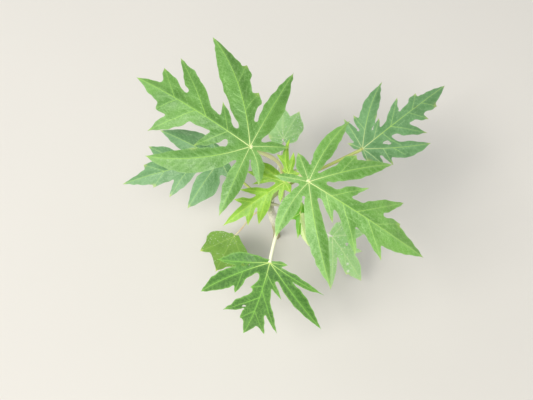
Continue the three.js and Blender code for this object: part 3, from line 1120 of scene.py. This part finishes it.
@dataclass(frozen=True)
class LeafFinish:
    """The colours and gloss of a blade's two faces and its veins."""

    slot: str
    base: str
    deep: str
    glow: str
    under: str
    vein: str
    vein_end: str
    fine: str
    tip: str
    tip_share: float = 0.3
    speckle: float = 0.0
    contrast: float = 1.0
    # How strongly the margin is lightened: partly the blade's own paler margin and partly a painted
    # highlight along the rim.
    edge: float = 0.35
    roughness: float = 0.45
    gloss: float = 0.7
    net_scale: float = 420.0
    fleck: str = "dfe9d0"
    dark: str = "2f3a22"
    # The near-white colour of the painted highlight spots.
    pale: str = "f2f6ea"

    def upper(self, name: str) -> Material:
        """Makes the upper face: cloudy green, lighter along veins, lighter along the margin partly by a
        painted highlight, with a fine net of veins and a few spots of painted highlight.

        Args:
            name: The material's name.

        Returns:
            The material.
        """
        graph = ShaderGraph(name, self.deep)
        graph.blend(graph.span(graph.cloud(26.0), 0.38, 0.62), self.base)
        cells = graph.cells(self.net_scale, Cells.BORDER)
        graph.blend(graph.span(cells, 0.02, 0.16, 1.0, 0.0), self.glow, 0.18)
        for label, code, strength in (
            ("rib", self.glow, 0.16 * self.contrast),
            ("vein", self.glow, 0.34 * self.contrast),
            # The margin, lighter partly by its own colour and partly by a painted highlight along the rim.
            ("rim", self.glow, self.edge),
            ("tip", self.tip, self.tip_share),
            ("pallor", self.under, 0.85),
        ):
            graph.blend(graph.stored(label), code, strength)
        if self.speckle:
            flecks = graph.span(graph.cells(340.0, Cells.MIDDLE), 0.12, 0.36, 1.0, 0.0)
            patches = graph.span(graph.cloud(60.0), 0.36, 0.56)
            graph.blend(graph.times(flecks, patches), self.fleck, self.speckle)
        graph.blend(graph.stored("dark"), self.dark)
        # Paints the highlight spots: near-white glints of light painted into the colour.
        graph.blend(graph.stored("pale"), self.pale)
        graph.bump(graph.sum(graph.span(cells, 0.0, 0.25), graph.cloud(900.0)), 0.00016, 0.7)
        return graph.finish(graph.uneven(140.0, self.roughness - 0.05, self.roughness + 0.07), self.gloss)

    def under_face(self, name: str) -> Material:
        """Makes the paler and duller under face.

        Args:
            name: The material's name.

        Returns:
            The material.
        """
        graph = ShaderGraph(name, self.under)
        graph.blend(graph.cloud(30.0), self.glow)
        graph.blend(graph.stored("vein"), self.vein, 0.4)
        net = graph.span(graph.cells(self.net_scale, Cells.BORDER), 0.02, 0.16, 1.0, 0.0)
        graph.blend(net, self.vein, 0.2)
        graph.bump(net, 0.00012, 0.6)
        return graph.finish(graph.uneven(140.0, 0.58, 0.70), 0.35)

    def ribs(self, name: str) -> Material:
        """Makes the veins: pale yellow-green, the fine ones closer to the leaf's green.

        Args:
            name: The material's name.

        Returns:
            The material.
        """
        graph = ShaderGraph(name, self.vein)
        graph.blend(graph.stored("outward"), self.vein_end)
        graph.blend(graph.span(graph.cloud(90.0), 0.35, 0.75, 0.0, 0.3), self.glow)
        graph.blend(graph.stored("fine"), self.fine)
        graph.bump(graph.cloud(1400.0), 0.00005, 0.5)
        return graph.finish(graph.uneven(200.0, 0.42, 0.55))


@dataclass(frozen=True)
class PetioleFinish:
    """The colours of a petiole from its base to its blade."""

    base: str
    middle: str
    tip: str
    blush: float = 0.0
    blush_tint: str = "c79a80"
    freckle: str = "fbfbe8"

    def material(self, name: str) -> Material:
        """Makes the petiole's skin, with fine lengthwise streaks and faint freckles.

        Args:
            name: The material's name.

        Returns:
            The material.
        """
        graph = ShaderGraph(name, self.base)
        along, streak = graph.stored("along"), graph.stored("streak")
        graph.blend(graph.span(along, 0.0, 0.25), self.middle)
        graph.blend(graph.span(along, 0.7, 1.0), self.tip)
        graph.blend(streak, self.base, 0.35)
        graph.blend(graph.span(graph.cloud(120.0), 0.4, 0.65, 0.0, self.blush), self.blush_tint)
        graph.blend(graph.span(graph.cells(700.0, Cells.MIDDLE), 0.08, 0.2, 0.25, 0.0), self.freckle)
        graph.bump(graph.sum(graph.cloud(1200.0), streak), 0.00008, 0.5)
        return graph.finish(graph.uneven(220.0, 0.40, 0.52))


@dataclass(frozen=True)
class BarkFinish:
    """The colours of the young bark from the foot up, with the heights in metres where each comes in."""

    foot: str = "b8ae80"
    bands: tuple[tuple[float, float, str], ...] = (
        (0.004, 0.030, "c4c08c"),
        (0.054, 0.090, "fdfae6"),
        (0.110, 0.158, "9db46a"),
        (0.205, 0.250, "8fbf55"),
    )
    scar: str = "d9d2ac"
    furrow: str = "a09a72"

    def material(self, name: str) -> Material:
        """Makes the bark.

        Args:
            name: The material's name.

        Returns:
            The material.
        """
        graph = ShaderGraph(name, self.foot)
        height = graph.add("SeparateXYZ", "Z", {0: graph.place})
        rise = graph.sum(height, graph.span(graph.cloud(70.0), 0.2, 0.8, -0.012, 0.012))
        for low, high, code in self.bands:
            graph.blend(graph.span(rise, low, high), code)
        long = graph.add("Mapping", "Vector", {"Vector": graph.place, "Scale": (1.0, 1.0, 0.16)})
        strands = graph.add("TexNoise", "Fac", {"Vector": long, "Scale": 620.0, "Detail": 5.0})
        fibre = graph.span(strands, 0.42, 0.62)
        warts = graph.span(graph.cells(480.0, Cells.MIDDLE), 0.10, 0.26, 1.0, 0.0)
        graph.blend(fibre, self.furrow, 0.16)
        graph.blend(warts, self.scar, 0.30)
        graph.blend(graph.stored("scar"), self.scar, 0.7)
        graph.blend(graph.stored("groove"), self.furrow, 0.5)
        graph.bump(graph.sum(graph.times(warts, 0.6), graph.times(fibre, -0.8)), 0.00022, 0.7)
        return graph.finish(graph.uneven(260.0, 0.58, 0.78), 0.4)


@dataclass(frozen=True)
class FloorFinish:
    """A plain pale studio floor."""

    color: str = "d8d4cc"
    cloudy: str = "dcd8d0"

    def material(self) -> Material:
        """Makes the floor's matt surface.

        Returns:
            The material.
        """
        graph = ShaderGraph("studio_floor", self.color)
        graph.blend(graph.cloud(3.0), self.cloudy)
        return graph.finish(0.85, 0.2)


# Trunk and petioles


@dataclass
class Trunk:
    """The upright trunk with its foot, leaf scars and corky lump. Degrees and millimetres."""

    line: tuple[Place, ...] = (
        (0, 0, 0), (0, 0, 14), (-3, -1, 60), (-6, -2, 98), (-9.5, -3, 122),
        (-13, -3.5, 148), (-11.5, -4, 172), (1, -6, 215), (8, -8, 262),
    )
    taper: tuple[tuple[float, float], ...] = (
        (0, 5.0), (12, 4.3), (45, 4.2), (70, 4.7), (94, 5.6),
        (125, 4.7), (215, 4.3), (250, 3.4), (262, 1.6),
    )
    lump_height: float = 94.0
    lump_reach: float = 17.0
    lump_knobs: float = 0.8
    scar_heights: tuple[float, ...] = (34, 47, 60, 71, 82, 93, 104, 128, 173, 184, 194)
    first_scar: float = 40.0
    scar_turn: float = 137.5
    scar_width: float = 3.0
    scar_tall: float = 1.9
    scar_rim: float = 0.30
    scar_hollow: float = 0.55
    pad_width: float = 3.4
    pad_above: float = 2.0
    pad_below: float = 4.2
    pad_rise: float = 0.55
    collar_rise: float = 0.9
    rim_rise: float = 0.38
    hollow: float = 0.35
    knob_rise: float = 0.2
    fibre_rise: float = 0.22
    grain_rise: float = 0.10
    grains: tuple[tuple[float, float], ...] = ((2.1, 5.5), (7.5, 16), (12, 2.2))
    flare: float = 0.5
    flare_ribs: int = 5
    flare_height: float = 7.0
    level_foot: float = 3.0
    least_radius: float = 0.6
    finish: BarkFinish = BarkFinish()
    rings: int = 260
    sides: int = 72

    def middles(self, count: int) -> Array:
        """Points along the trunk's middle."""
        return spline(np.array(self.line, float), np.linspace(0, 1, count))

    def middle(self, height: float) -> Array:
        """The trunk's middle at a height."""
        points = self.middles(800)
        return points[np.abs(points[:, 2] - height).argmin()]

    def radius(self, height: Array | float) -> Array:
        """The trunk's radius at a height."""
        return np.interp(height, *np.array(self.taper, float).T)

    def build(self, bases: list[tuple[float, float]]) -> Thing:
        """Builds the trunk with its bark in relief.

        Args:
            bases: The height and bearing of each petiole's base.

        Returns:
            The finished piece.
        """
        middles, turn = self.middles(self.rings), full_turn(self.sides)
        height = np.repeat(middles[:, 2:3], self.sides, 1)
        radii = self.radius(height)
        scar, groove = np.zeros_like(radii), np.zeros_like(radii)
        bearings = self.first_scar + self.scar_turn * np.arange(len(self.scar_heights))
        marks = [(mark, bearing, False) for mark, bearing in zip(self.scar_heights, bearings)]
        for mark, bearing, held in marks + [(*base, True) for base in bases]:
            away = (turn[None] - math.radians(bearing) + np.pi) % (2 * np.pi) - np.pi
            across, up = away * self.radius(mark), height - mark
            pad = hump(across, self.pad_width) * hump(up, np.where(up > 0, self.pad_above, self.pad_below))
            if held:
                radii += self.collar_rise * pad
                continue
            heart = np.hypot(across / self.scar_width, up / self.scar_tall)
            ring = hump(heart - 1, self.scar_rim)
            radii += self.pad_rise * pad + self.rim_rise * ring - self.hollow * hump(heart, self.scar_hollow)
            scar = np.maximum(scar, ring)
            groove = np.maximum(groove, 0.7 * hump(heart, 0.5))
        x, y = direction(turn).T
        knob, fibre, grain = (noise_at(fine * x, fine * y, height / tall) for fine, tall in self.grains)
        knob_rise = self.knob_rise + self.lump_knobs * hump(height - self.lump_height, self.lump_reach)
        radii += knob_rise * knob + self.fibre_rise * fibre + self.grain_rise * grain
        groove = np.maximum(groove, np.clip(-2.4 * fibre - 0.45, 0, 1))
        flare = self.flare * np.cos(self.flare_ribs * turn + 0.6)[None]
        above = smooth(height, 0.0, self.level_foot)
        radii = np.maximum(radii + flare * np.exp(-height / self.flare_height), self.least_radius) * above
        radii += (self.radius(height) + flare) * (1 - above)
        thing = tube("trunk_bark", middles, radii)
        for corner in thing.data.vertices:
            corner.co.z = max(0.0, corner.co.z)
        store(thing, "scar", scar)
        store(thing, "groove", groove)
        return settle(thing, "trunk", "trunk", self.finish.material("young_bark"))


@dataclass
class Petiole:
    """One leaf's stalk, from its place on the trunk to the blade's junction. Degrees and millimetres."""

    height: float
    bearing: float
    rise: float
    radius: float
    finish: PetioleFinish
    base_swell: float = 0.45
    end_swell: float = 0.15
    collar_swell: float = 0.55
    socket_swell: float = 0.22
    handle_share: float = 0.35
    least_climb: float = 0.3
    root: float = 2.2
    ridges: int = 8
    ridge_rise: float = 0.035
    wobble_rise: float = 0.05
    rings: int = 56
    sides: int = 16

    def path(self, trunk: Trunk, blade: Blade) -> Array:
        """Follows the petiole from inside the bark to the blade's junction.

        Args:
            trunk: The trunk it leaves.
            blade: The blade it carries.

        Returns:
            Its middle points.
        """
        rise, up, junction = math.radians(self.rise), blade.axes[:, 2], np.array(blade.junction, float)
        out = level(self.bearing)
        leave = out * math.cos(rise) + np.array([0, 0, math.sin(rise)])
        start = trunk.middle(self.height) + out * float(trunk.radius(self.height))
        span = float(np.linalg.norm(junction - start))
        chord = (junction - start) / span
        climb = float(chord @ up)
        arrive = unit(unit(chord - climb * up) + max(self.least_climb, climb) * up)
        end = junction - up * 0.5
        handle = span * self.handle_share
        holds = (start, start + leave * handle, end - arrive * handle, end)
        t = np.linspace(0, 1, self.rings)[:, None]
        curve = sum(math.comb(3, k) * t**k * (1 - t) ** (3 - k) * hold for k, hold in enumerate(holds))
        return np.vstack([start - leave * self.root, start - leave, curve])

    def build(self, number: int, trunk: Trunk, blade: Blade) -> Thing:
        """Builds the petiole.

        Args:
            number: The leaf's number.
            trunk: The trunk it leaves.
            blade: The blade it carries.

        Returns:
            The finished piece.
        """
        share = np.concatenate([[0, 0], np.linspace(0, 1, self.rings)])
        girth = 1 + self.collar_swell * hump(share, 0.035) + self.base_swell * (1 - smooth(share, 0.0, 0.2))
        girth *= 1 + self.end_swell * smooth(share, 0.2, 1.0)
        girth *= 1 + self.socket_swell * smooth(share, 0.955, 1.0)
        turn = full_turn(self.sides)
        ridges = np.cos(self.ridges * turn)[None]
        wobble = noise_at(np.cos(turn)[None], np.sin(turn)[None], 9 * share[:, None] + number)
        radii = self.radius * girth[:, None] * (1 + self.ridge_rise * ridges + self.wobble_rise * wobble)
        tag = f"{number:02d}"
        thing = tube(f"petiole_stalk_{tag}", self.path(trunk, blade), radii)
        store(thing, "along", np.repeat(share, self.sides))
        store(thing, "streak", np.clip(0.5 + 0.5 * ridges + wobble, 0, 1))
        return settle(thing, "petiole", f"petiole_{tag}", self.finish.material(f"stalk_skin_{tag}"))


@dataclass
class Leaf:
    """One whole leaf: its petiole, its blade and its finish."""

    number: int
    finish: LeafFinish
    petiole: Petiole
    blade: Blade

    def build(self, trunk: Trunk) -> list[Thing]:
        """Builds the blade's surface and its veins, and the petiole.

        Args:
            trunk: The trunk that carries the leaf.

        Returns:
            The three finished pieces.
        """
        tag = f"{self.number:02d}"
        self.blade.draw()
        faces = self.finish.upper(f"leaf_upper_{tag}"), self.finish.under_face(f"leaf_under_{tag}")
        ribs = self.finish.ribs(f"leaf_veins_{tag}")
        return [
            settle(self.blade.surface(f"blade_leaf_{tag}"), self.finish.slot, f"blade_{tag}", *faces),
            settle(self.blade.veins(f"blade_veins_{tag}"), "vein", f"blade_{tag}", ribs),
            self.petiole.build(self.number, trunk, self.blade),
        ]


@dataclass
class GrowingTip:
    """The tuft of unopened leaves at the trunk's top. Each has a bearing, a length, a rise and a width."""

    finish: LeafFinish
    base: Place = (8.6, -8.4, 259.5)
    blades: tuple[tuple[float, float, float, float], ...] = (
        (8, 14, 48, 3.0), (-38, 11, 40, 2.6), (55, 9, 62, 2.4), (-80, 7, 66, 2.2), (120, 8, 70, 2.2),
    )
    curl: float = 1.1
    fold: float = 0.55
    thickness: float = 0.44
    rows: int = 18
    columns: int = 8

    def blade(self, bearing: float, length: float, rise: float, width: float) -> Array:
        """Draws one small folded blade that curls outwards.

        Args:
            bearing: Where it points, in degrees.
            length: Its length.
            rise: How steeply it starts, in degrees.
            width: Its width.

        Returns:
            Its corners, ring after ring.
        """
        share, turn = np.linspace(0, 1, self.rows), full_turn(self.columns)
        climb = np.radians(rise) - self.curl * share**2
        run = np.vstack([[0.0, 0.0], np.cumsum(direction(climb) * length / self.rows, 0)[:-1]])
        out, up = level(bearing), np.array([0, 0, 1.0])
        middle = self.base + out * (run[:, :1] + 1.0) + up * run[:, 1:]
        upward = aside(climb) @ np.array([out, up])
        girth = np.sin(np.pi * np.minimum(share * 0.96 + 0.02, 1)) ** 0.8 * (1 - 0.4 * share)
        half = (0.35 + width / 2 * girth)[:, None]
        across = (half * np.cos(turn))[:, :, None] * level(bearing + 90)
        fold = self.fold * half * np.abs(np.cos(turn)) + self.thickness / 2 * np.sin(turn)
        return (middle[:, None] + across + upward[:, None] * fold[:, :, None]).reshape(-1, 3)

    def build(self) -> Thing:
        """Builds the tuft as one mesh.

        Returns:
            The finished piece.
        """
        faces = tube_faces(self.rows, self.columns)
        thing = make_piece("growing_tip", [(self.blade(*sizes), faces) for sizes in self.blades])
        store(thing, "vein", np.zeros(len(thing.data.vertices)))
        return settle(thing, self.finish.slot, "trunk", self.finish.under_face("unopened_leaves"))


# The colours of the plant's own leaves and petioles

MID = LeafFinish(
    "leaf_mid", base="669c3a", deep="52882c", glow="9cca76", under="a8c894",
    vein="e6eea6", vein_end="a0d254", fine="a2d27a", tip="cfdc6e",
)
BRIGHT = LeafFinish(
    "leaf_mid", base="76ae46", deep="609a34", glow="acd686", under="a8c894",
    vein="e6eea6", vein_end="acda60", fine="aedc86", tip="cfdc6e",
)
GREY = LeafFinish(
    "leaf_grey", base="689a5e", deep="568a4c", glow="9ac48a", under="a8c09c",
    vein="e2eaa8", vein_end="aad464", fine="a2cc8e", tip="e0e07c",
    tip_share=0.4,
)
DEEP = LeafFinish(
    "leaf_deep", base="447828", deep="36681e", glow="8cc45a", under="9cbc80",
    vein="d6e68a", vein_end="8ccc4c", fine="74ae4e", tip="84c83c",
    # This blade's margins are lightened more, partly by a painted highlight along the rim.
    edge=0.7, gloss=0.5,
)
NEW = LeafFinish(
    "leaf_new", base="84ba2e", deep="70a622", glow="b4da54", under="b4d478",
    vein="dcf088", vein_end="b8e054", fine="b4da5c", tip="bcdc54",
)
SHADED = LeafFinish(
    "leaf_deep", base="5aa418", deep="4a9010", glow="84c03c", under="deeaac",
    vein="e4f0a0", vein_end="b8dc60", fine="7ab834", tip="e4f0b0",
    gloss=0.45,
)
PALE = LeafFinish(
    "leaf_pale", base="a8dc88", deep="94ce78", glow="d2f0ae", under="c0d8a8",
    vein="e4f2b4", vein_end="ccea98", fine="c4e89e", tip="e4ee90",
    tip_share=0.4, speckle=0.85, contrast=0.8, edge=0.6,
)
OLD = LeafFinish(
    "leaf_old", base="6c9634", deep="5c862a", glow="8cb254", under="a4bc7c",
    vein="a4bc5c", vein_end="94b450", fine="7ca044", tip="e0e67c",
    tip_share=0.8, speckle=0.4, contrast=0.5, roughness=0.55, gloss=0.4,
)
BUD = LeafFinish(
    "leaf_new", base="c8d89c", deep="a8c468", glow="dce8b0", under="d4dcae",
    vein="f2f0dc", vein_end="e4e8b8", fine="e4e8b8", tip="e8e4b0",
)

CREAM = PetioleFinish(base="e4e4ba", middle="f0efd0", tip="f4f3dc")
YELLOW = PetioleFinish(base="fff2ac", middle="fff8c8", tip="dcecb0")
GREEN = PetioleFinish(base="aebc62", middle="b4c068", tip="c2ca78")
BEIGE = PetioleFinish(base="a9a070", middle="d9cfa4", tip="e0dab4", blush=0.5)
WHITE = PetioleFinish(base="b7bf92", middle="ecece0", tip="f3f3ea", blush=0.25)

# The plant's own leaves, from the oldest and lowest to the youngest. A lobe's numbers are its heading,
# length, width and droop. A side point's are its place along the lobe, and its angle, length and width.
LEAVES = [
    Leaf(1, OLD, Petiole(height=138, bearing=205, rise=12, radius=0.9, finish=BEIGE), Blade(
        junction=(-58, -23, 76), heading=-117, pitch=36, lift=6, web=(
            (-1.5, 0), (-1, -11), (1.5, -20), (7.5, -30), (15, -35), (25, -35), (33, -28),
            (41, -20.5), (48, -14.5), (56, -9), (56, 0), (47, 6), (44, 14), (42, 24),
            (32, 31), (20, 29), (11.5, 24), (4, 15), (0, 8), (-1.5, 0),
        ), lobes=(
            Lobe(-6, 64, 17, 20, widest=0.55, neck=0.6),
            Lobe(-40, 60, 17, 20, widest=0.62, neck=0.6, lean=-0.1),
            Lobe(42, 52, 20, 20, widest=0.55, neck=0.7),
        ), fold=6)),
    Leaf(2, PALE, Petiole(height=116, bearing=82, rise=16, radius=1.3, finish=WHITE), Blade(
        junction=(8, 103, 112), heading=85, pitch=4, lift=6, web=(
            (-2.5, 1), (0, -8), (3.5, -15), (7, -20), (12.5, -24), (20, -26.8), (27, -26.5),
            (35, -22), (36, -12), (38, -4), (40, 8), (34, 17), (24, 22), (14, 22.5),
            (6, 21), (0.5, 19), (-4, 15.5), (-5, 9), (-2.5, 1),
        ), lobes=(
            Lobe(5, 55, 22, 10, neck=0.6),
            Lobe(-22, 51, 18, 10, widest=0.62, neck=0.6, lean=-0.2),
            Lobe(32, 40, 20, 10, neck=0.7),
            Lobe(-58, 26, 22, 10, neck=0.8),
            Lobe(85, 20, 18, 10, neck=0.8),
        ), fold=6)),
    Leaf(3, PALE, Petiole(height=156, bearing=343, rise=10, radius=1.2, finish=WHITE), Blade(
        junction=(72, -26, 86), heading=-55, pitch=30, lift=6, web=(
            (-1.5, 0), (3, -9), (14, -11), (24, -11), (29, -6.5), (33, 3), (32, 16),
            (29, 22), (22, 25), (12, 26), (2, 24), (-6, 20), (-5.5, 10), (-1.5, 0),
        ), lobes=(
            Lobe(5, 82, 24, 20, widest=0.6, neck=0.5, teeth=(
                right(0.36, 26, 31, 12), left(0.26, 43, 34, 13))),
            Lobe(-29, 74, 15, 20, widest=0.45, neck=0.6, lean=-0.1),
            Lobe(62, 50, 17, 12, neck=0.6),
            Lobe(105, 27, 17, 10, neck=0.8),
        ), spots=(
            Spot(20.8, 12.0, 2.3, Mark.HOLE),
            # Two spots of painted highlight, where light glints off the blade.
            Spot(44.8, 0.1, 1.8, Mark.PAINTED_GLINT),
            Spot(55.1, -3.9, 2.0, Mark.PAINTED_GLINT),
        ), fold=8)),
    Leaf(4, GREY, Petiole(height=160, bearing=144, rise=8, radius=1.5, finish=GREEN), Blade(
        junction=(-73, 55, 150), heading=-170, pitch=2, lift=6, web=(20, 14), lobes=(
            Lobe(0, 133, 27, 24, widest=0.6, neck=0.5, teeth=(
                right(0.32, 42, 68, 22, 0.5), right(0.54, 33, 34, 22, 0.5),
                left(0.28, 42, 50, 20), left(0.55, 42, 25, 16))),
            Lobe(-41, 97, 37, 20, lean=-0.36),
            Lobe(46, 74, 31, 22, lean=0.2, neck=0.3),
            Lobe(107, 28, 18, 12),
            Lobe(-78, 32, 14, 12),
        ))),
    Leaf(5, GREY, Petiole(height=203, bearing=22, rise=24, radius=1.7, finish=GREEN), Blade(
        junction=(94, 35, 228), heading=41, pitch=0, lift=5, web=(27, 14), lobes=(
            Lobe(0, 147, 21, 22, widest=0.7, bend=4, lean=-0.1, neck=0.6, teeth=(
                left(0.12, 34, 31, 8), left(0.3, 33, 46, 12), left(0.55, 31, 29, 14, 0.4),
                right(0.215, 72, 27, 7, 0.5), right(0.3, 41, 47, 16),
                right(0.51, 47, 27, 12), right(0.66, 40, 22, 13, 0.5))),
            Lobe(31, 103, 20, 22, bend=-22, teeth=(left(0.22, 38, 26, 10),)),
            Lobe(74, 45, 13, 18),
            Lobe(115, 18, 7, 10),
            Lobe(-32, 85, 19, 22, widest=0.6, bend=22, lean=-0.2, neck=0.5, teeth=(
                right(0.27, 59, 22, 9), right(0.42, 30, 17, 10, 0.5))),
            Lobe(-80, 32, 14, 18),
            Lobe(-110, 18, 7, 18),
        ), spots=(Spot(88, -1, 1.4), Spot(27.2, -12.6, 2.6, Mark.HOLE, 1.9, -38.0)))),
    Leaf(6, DEEP, Petiole(height=219, bearing=282, rise=28, radius=1.7, finish=CREAM), Blade(
        junction=(-11, -92, 208), heading=-116, pitch=36, lift=4, web=(24, 18), lobes=(
            Lobe(0, 116, 26, 34, widest=0.6, bend=-18, neck=0.45, teeth=(
                right(0.26, 57, 17, 9), right(0.38, 40, 61, 15), right(0.57, 30, 28, 16),
                left(0.12, 39, 36, 7), left(0.29, 27, 69, 10), left(0.57, 31, 41, 13))),
            Lobe(-39, 106, 21, 26, widest=0.6, bend=19, neck=0.5, lean=0.1, teeth=(
                left(0.31, 41, 33, 11),)),
            Lobe(-64, 65, 17, 20, lean=-0.3),
            Lobe(55, 103, 18, 30, bend=-8),
            Lobe(79, 71, 9, 26),
            Lobe(106, 20, 7, 14),
        ), spots=(
            Spot(17.2, -27.3, 2.1, Mark.HOLE, 1.4, -62.0),
            Spot(13.4, -21.5, 1.3, Mark.HOLE),
            Spot(68.9, -9.6, 1.6, Mark.HOLE, 2.0, -40.0),
        ))),
    Leaf(7, MID, Petiole(height=236, bearing=98, rise=46, radius=2.0, finish=YELLOW), Blade(
        junction=(-31, 4, 300), heading=145, pitch=-4, lift=5, web=(24, 21), lobes=(
            Lobe(0, 150, 28, 20, widest=0.66, neck=0.5, teeth=(
                right(0.19, 45, 35, 12, 0.3), right(0.36, 33, 86, 18, 0.45, -8), right(0.64, 35, 46, 19),
                left(0.19, 57, 38, 14), left(0.46, 52, 55, 19), left(0.62, 52, 26, 22, 0.6))),
            Lobe(-38, 146, 29, 20, widest=0.53, bend=26, lean=0.1, neck=0.5, teeth=(
                right(0.28, 42, 27, 18, 0.6), right(0.5, 36, 28, 20, 0.5))),
            Lobe(-82, 102, 21, 16, widest=0.45, lean=-0.15),
            Lobe(-144, 40, 13, 12),
            Lobe(38, 111, 26, 24, widest=0.55, bend=-40, lean=0.1, neck=0.5),
            Lobe(102, 77, 19, 22),
            Lobe(138, 42, 13, 20, bend=-35),
        ))),
    Leaf(8, BRIGHT, Petiole(height=241, bearing=335, rise=50, radius=1.9, finish=YELLOW), Blade(
        junction=(26, -38, 310), heading=-29, pitch=8, lift=6, web=(18, 16), lobes=(
            Lobe(0, 140, 28, 26, widest=0.66, bend=7, neck=0.5, teeth=(
                left(0.18, 47, 42, 12), left(0.38, 45, 60, 16, 0.35, 4), left(0.55, 34, 30, 13, 0.5),
                right(0.13, 45, 30, 9), right(0.27, 42, 52, 13), right(0.48, 37, 43, 13))),
            Lobe(46, 97, 19, 26, widest=0.55, bend=-6, neck=0.5, teeth=(left(0.35, 30, 29, 16, 0.55),)),
            Lobe(86, 87, 17, 22, bend=-22),
            Lobe(136, 33, 14, 20),
            Lobe(-48, 106, 20, 26, bend=18, neck=0.45),
            Lobe(-91, 64, 17, 24, bend=28, neck=0.35),
            Lobe(-161, 35, 9, 15),
        ))),
    Leaf(9, NEW, Petiole(height=247, bearing=225, rise=45, radius=1.3, finish=GREEN), Blade(
        junction=(4, -23, 272), heading=-148, pitch=8, lift=6, web=(10, 7), lobes=(
            Lobe(0, 80, 12, 24, widest=0.64, neck=0.55, teeth=(
                right(0.24, 43, 33, 8), right(0.47, 46, 24, 8),
                left(0.24, 35, 36, 12), left(0.49, 39, 24, 8))),
            Lobe(-52, 44, 9, 18, neck=0.5, teeth=(left(0.29, 31, 23, 5),)),
            Lobe(-71, 42, 13, 14),
            Lobe(45, 23, 5.5, 18, lean=-0.5),
            Lobe(87, 13, 8, 30),
        ), grid=1.4, thickness=0.4)),
    Leaf(10, SHADED, Petiole(height=236, bearing=292, rise=40, radius=1.1, finish=GREEN), Blade(
        junction=(20.5, -52, 258), heading=-91, pitch=15, lift=6, web=(6, 5), lobes=(
            Lobe(-5, 27, 7.5, 20, widest=0.35, neck=0.8),
            Lobe(16, 37, 9, 20, bend=20, neck=0.8, pallor=1.0),
            Lobe(-60, 14, 6, 20),
            Lobe(172, 12, 8, 10, neck=0.7),
        ), grid=1.2, thickness=0.4)),
    Leaf(11, NEW, Petiole(height=252, bearing=264, rise=75, radius=1.0, finish=GREEN), Blade(
        junction=(8.5, -13, 270), heading=86, pitch=-35, lift=4, web=(6, 5), lobes=(
            Lobe(2, 39, 7, -12, widest=0.42, bend=-46, neck=0.7, teeth=(left(0.32, 40, 13, 5),)),
            Lobe(-8, 24, 6.5, -10, bend=18, neck=0.6),
            Lobe(64, 8, 5, -6),
            Lobe(-84, 12, 6, -6),
        ), grid=1.2, thickness=0.4)),
]


# Studio


@dataclass(frozen=True)
class SoftLight:
    """A soft square light that faces the plant: its place and side in metres, its watts and its colour."""

    name: str
    place: Place
    side: float
    power: float
    tint: str
    aim: Place = (0, 0, 0.15)

    def hang(self) -> None:
        """Hangs the light."""
        light = bpy.data.lights.new(self.name, "AREA")
        light.size, light.energy, light.color = self.side, self.power, srgb(self.tint)[:3]
        thing = bpy.data.objects.new(self.name, light)
        thing.location = self.place
        thing.rotation_euler = (Vector(self.aim) - Vector(self.place)).to_track_quat("-Z", "Y").to_euler()
        bpy.context.collection.objects.link(thing)


@dataclass
class Studio:
    """The floor, the soft lights and the camera at the photograph's angle."""

    focus: Place = (-0.0146, 0.0563, 0.0)
    distance: float = 0.9
    elevation: float = 70.0
    focal_pixels: float = 600.0
    picture_width: int = 533
    floor: FloorFinish = FloorFinish()
    floor_side: float = 6000.0
    floor_tiles: int = 12
    lights: tuple[SoftLight, ...] = (
        SoftLight("key_light", (-2.3, -1.2, 4.0), 2.0, 146.0, "fffdf8"),
        SoftLight("fill_light", (-0.1, -1.4, 4.0), 1.8, 46.0, "fbfcff"),
        SoftLight("sky_light", (-2.6, 1.7, 3.1), 2.2, 26.0, "f2f7ff"),
        SoftLight("low_light", (-0.9, -2.4, 0.9), 1.2, 9.0, "fffaf0"),
    )
    air: str = "f1f4f8"
    air_strength: float = 0.38

    def lay_floor(self) -> None:
        """Lays the pale floor at ground level."""
        row = self.floor_tiles + 1
        along = np.linspace(-0.5, 0.5, row) * self.floor_side
        corners = np.array([(x, y, 0.0) for y in along for x in along])
        starts = [k * row + i for k in range(self.floor_tiles) for i in range(self.floor_tiles)]
        thing = make_piece("studio_floor", [(corners, [[i, i + 1, i + row + 1, i + row] for i in starts])])
        thing.data.materials.append(self.floor.material())

    def fill_air(self) -> None:
        """Lets pale light come evenly from all round."""
        world = bpy.data.worlds.new("studio_air")
        world.use_nodes = True
        sky = world.node_tree.nodes["Background"]
        sky.inputs["Color"].default_value = srgb(self.air)
        sky.inputs["Strength"].default_value = self.air_strength
        bpy.context.scene.world = world
        bpy.context.scene.view_settings.view_transform = "Standard"

    def set_camera(self) -> None:
        """Sets the camera where the photograph was taken from."""
        camera = bpy.data.cameras.new("camera")
        camera.sensor_width = 36.0
        camera.lens = self.focal_pixels * camera.sensor_width / self.picture_width
        camera.clip_start = 0.01
        thing = bpy.data.objects.new("camera", camera)
        up = math.radians(self.elevation)
        x, y, z = self.focus
        thing.location = (x, y - self.distance * math.cos(up), z + self.distance * math.sin(up))
        thing.rotation_euler = (math.pi / 2 - up, 0, 0)
        bpy.context.collection.objects.link(thing)
        bpy.context.scene.camera = thing

    def build(self) -> None:
        """Sets up the whole studio."""
        self.lay_floor()
        for light in self.lights:
            light.hang()
        self.fill_air()
        self.set_camera()


def report(*pieces: Thing) -> None:
    """Reports finished pieces, each with how many faces it has."""
    for piece in pieces:
        LOG.info("%s: %d faces", piece.name, len(piece.data.polygons))


def main() -> None:
    """Builds the trunk, the leaves and the studio."""
    logging.basicConfig(level=logging.INFO, format="%(message)s")
    trunk = Trunk()
    report(trunk.build([(leaf.petiole.height, leaf.petiole.bearing) for leaf in LEAVES]))
    report(GrowingTip(BUD).build())
    for leaf in LEAVES:
        report(*leaf.build(trunk))
    Studio().build()


if __name__ == "__main__":
    main()
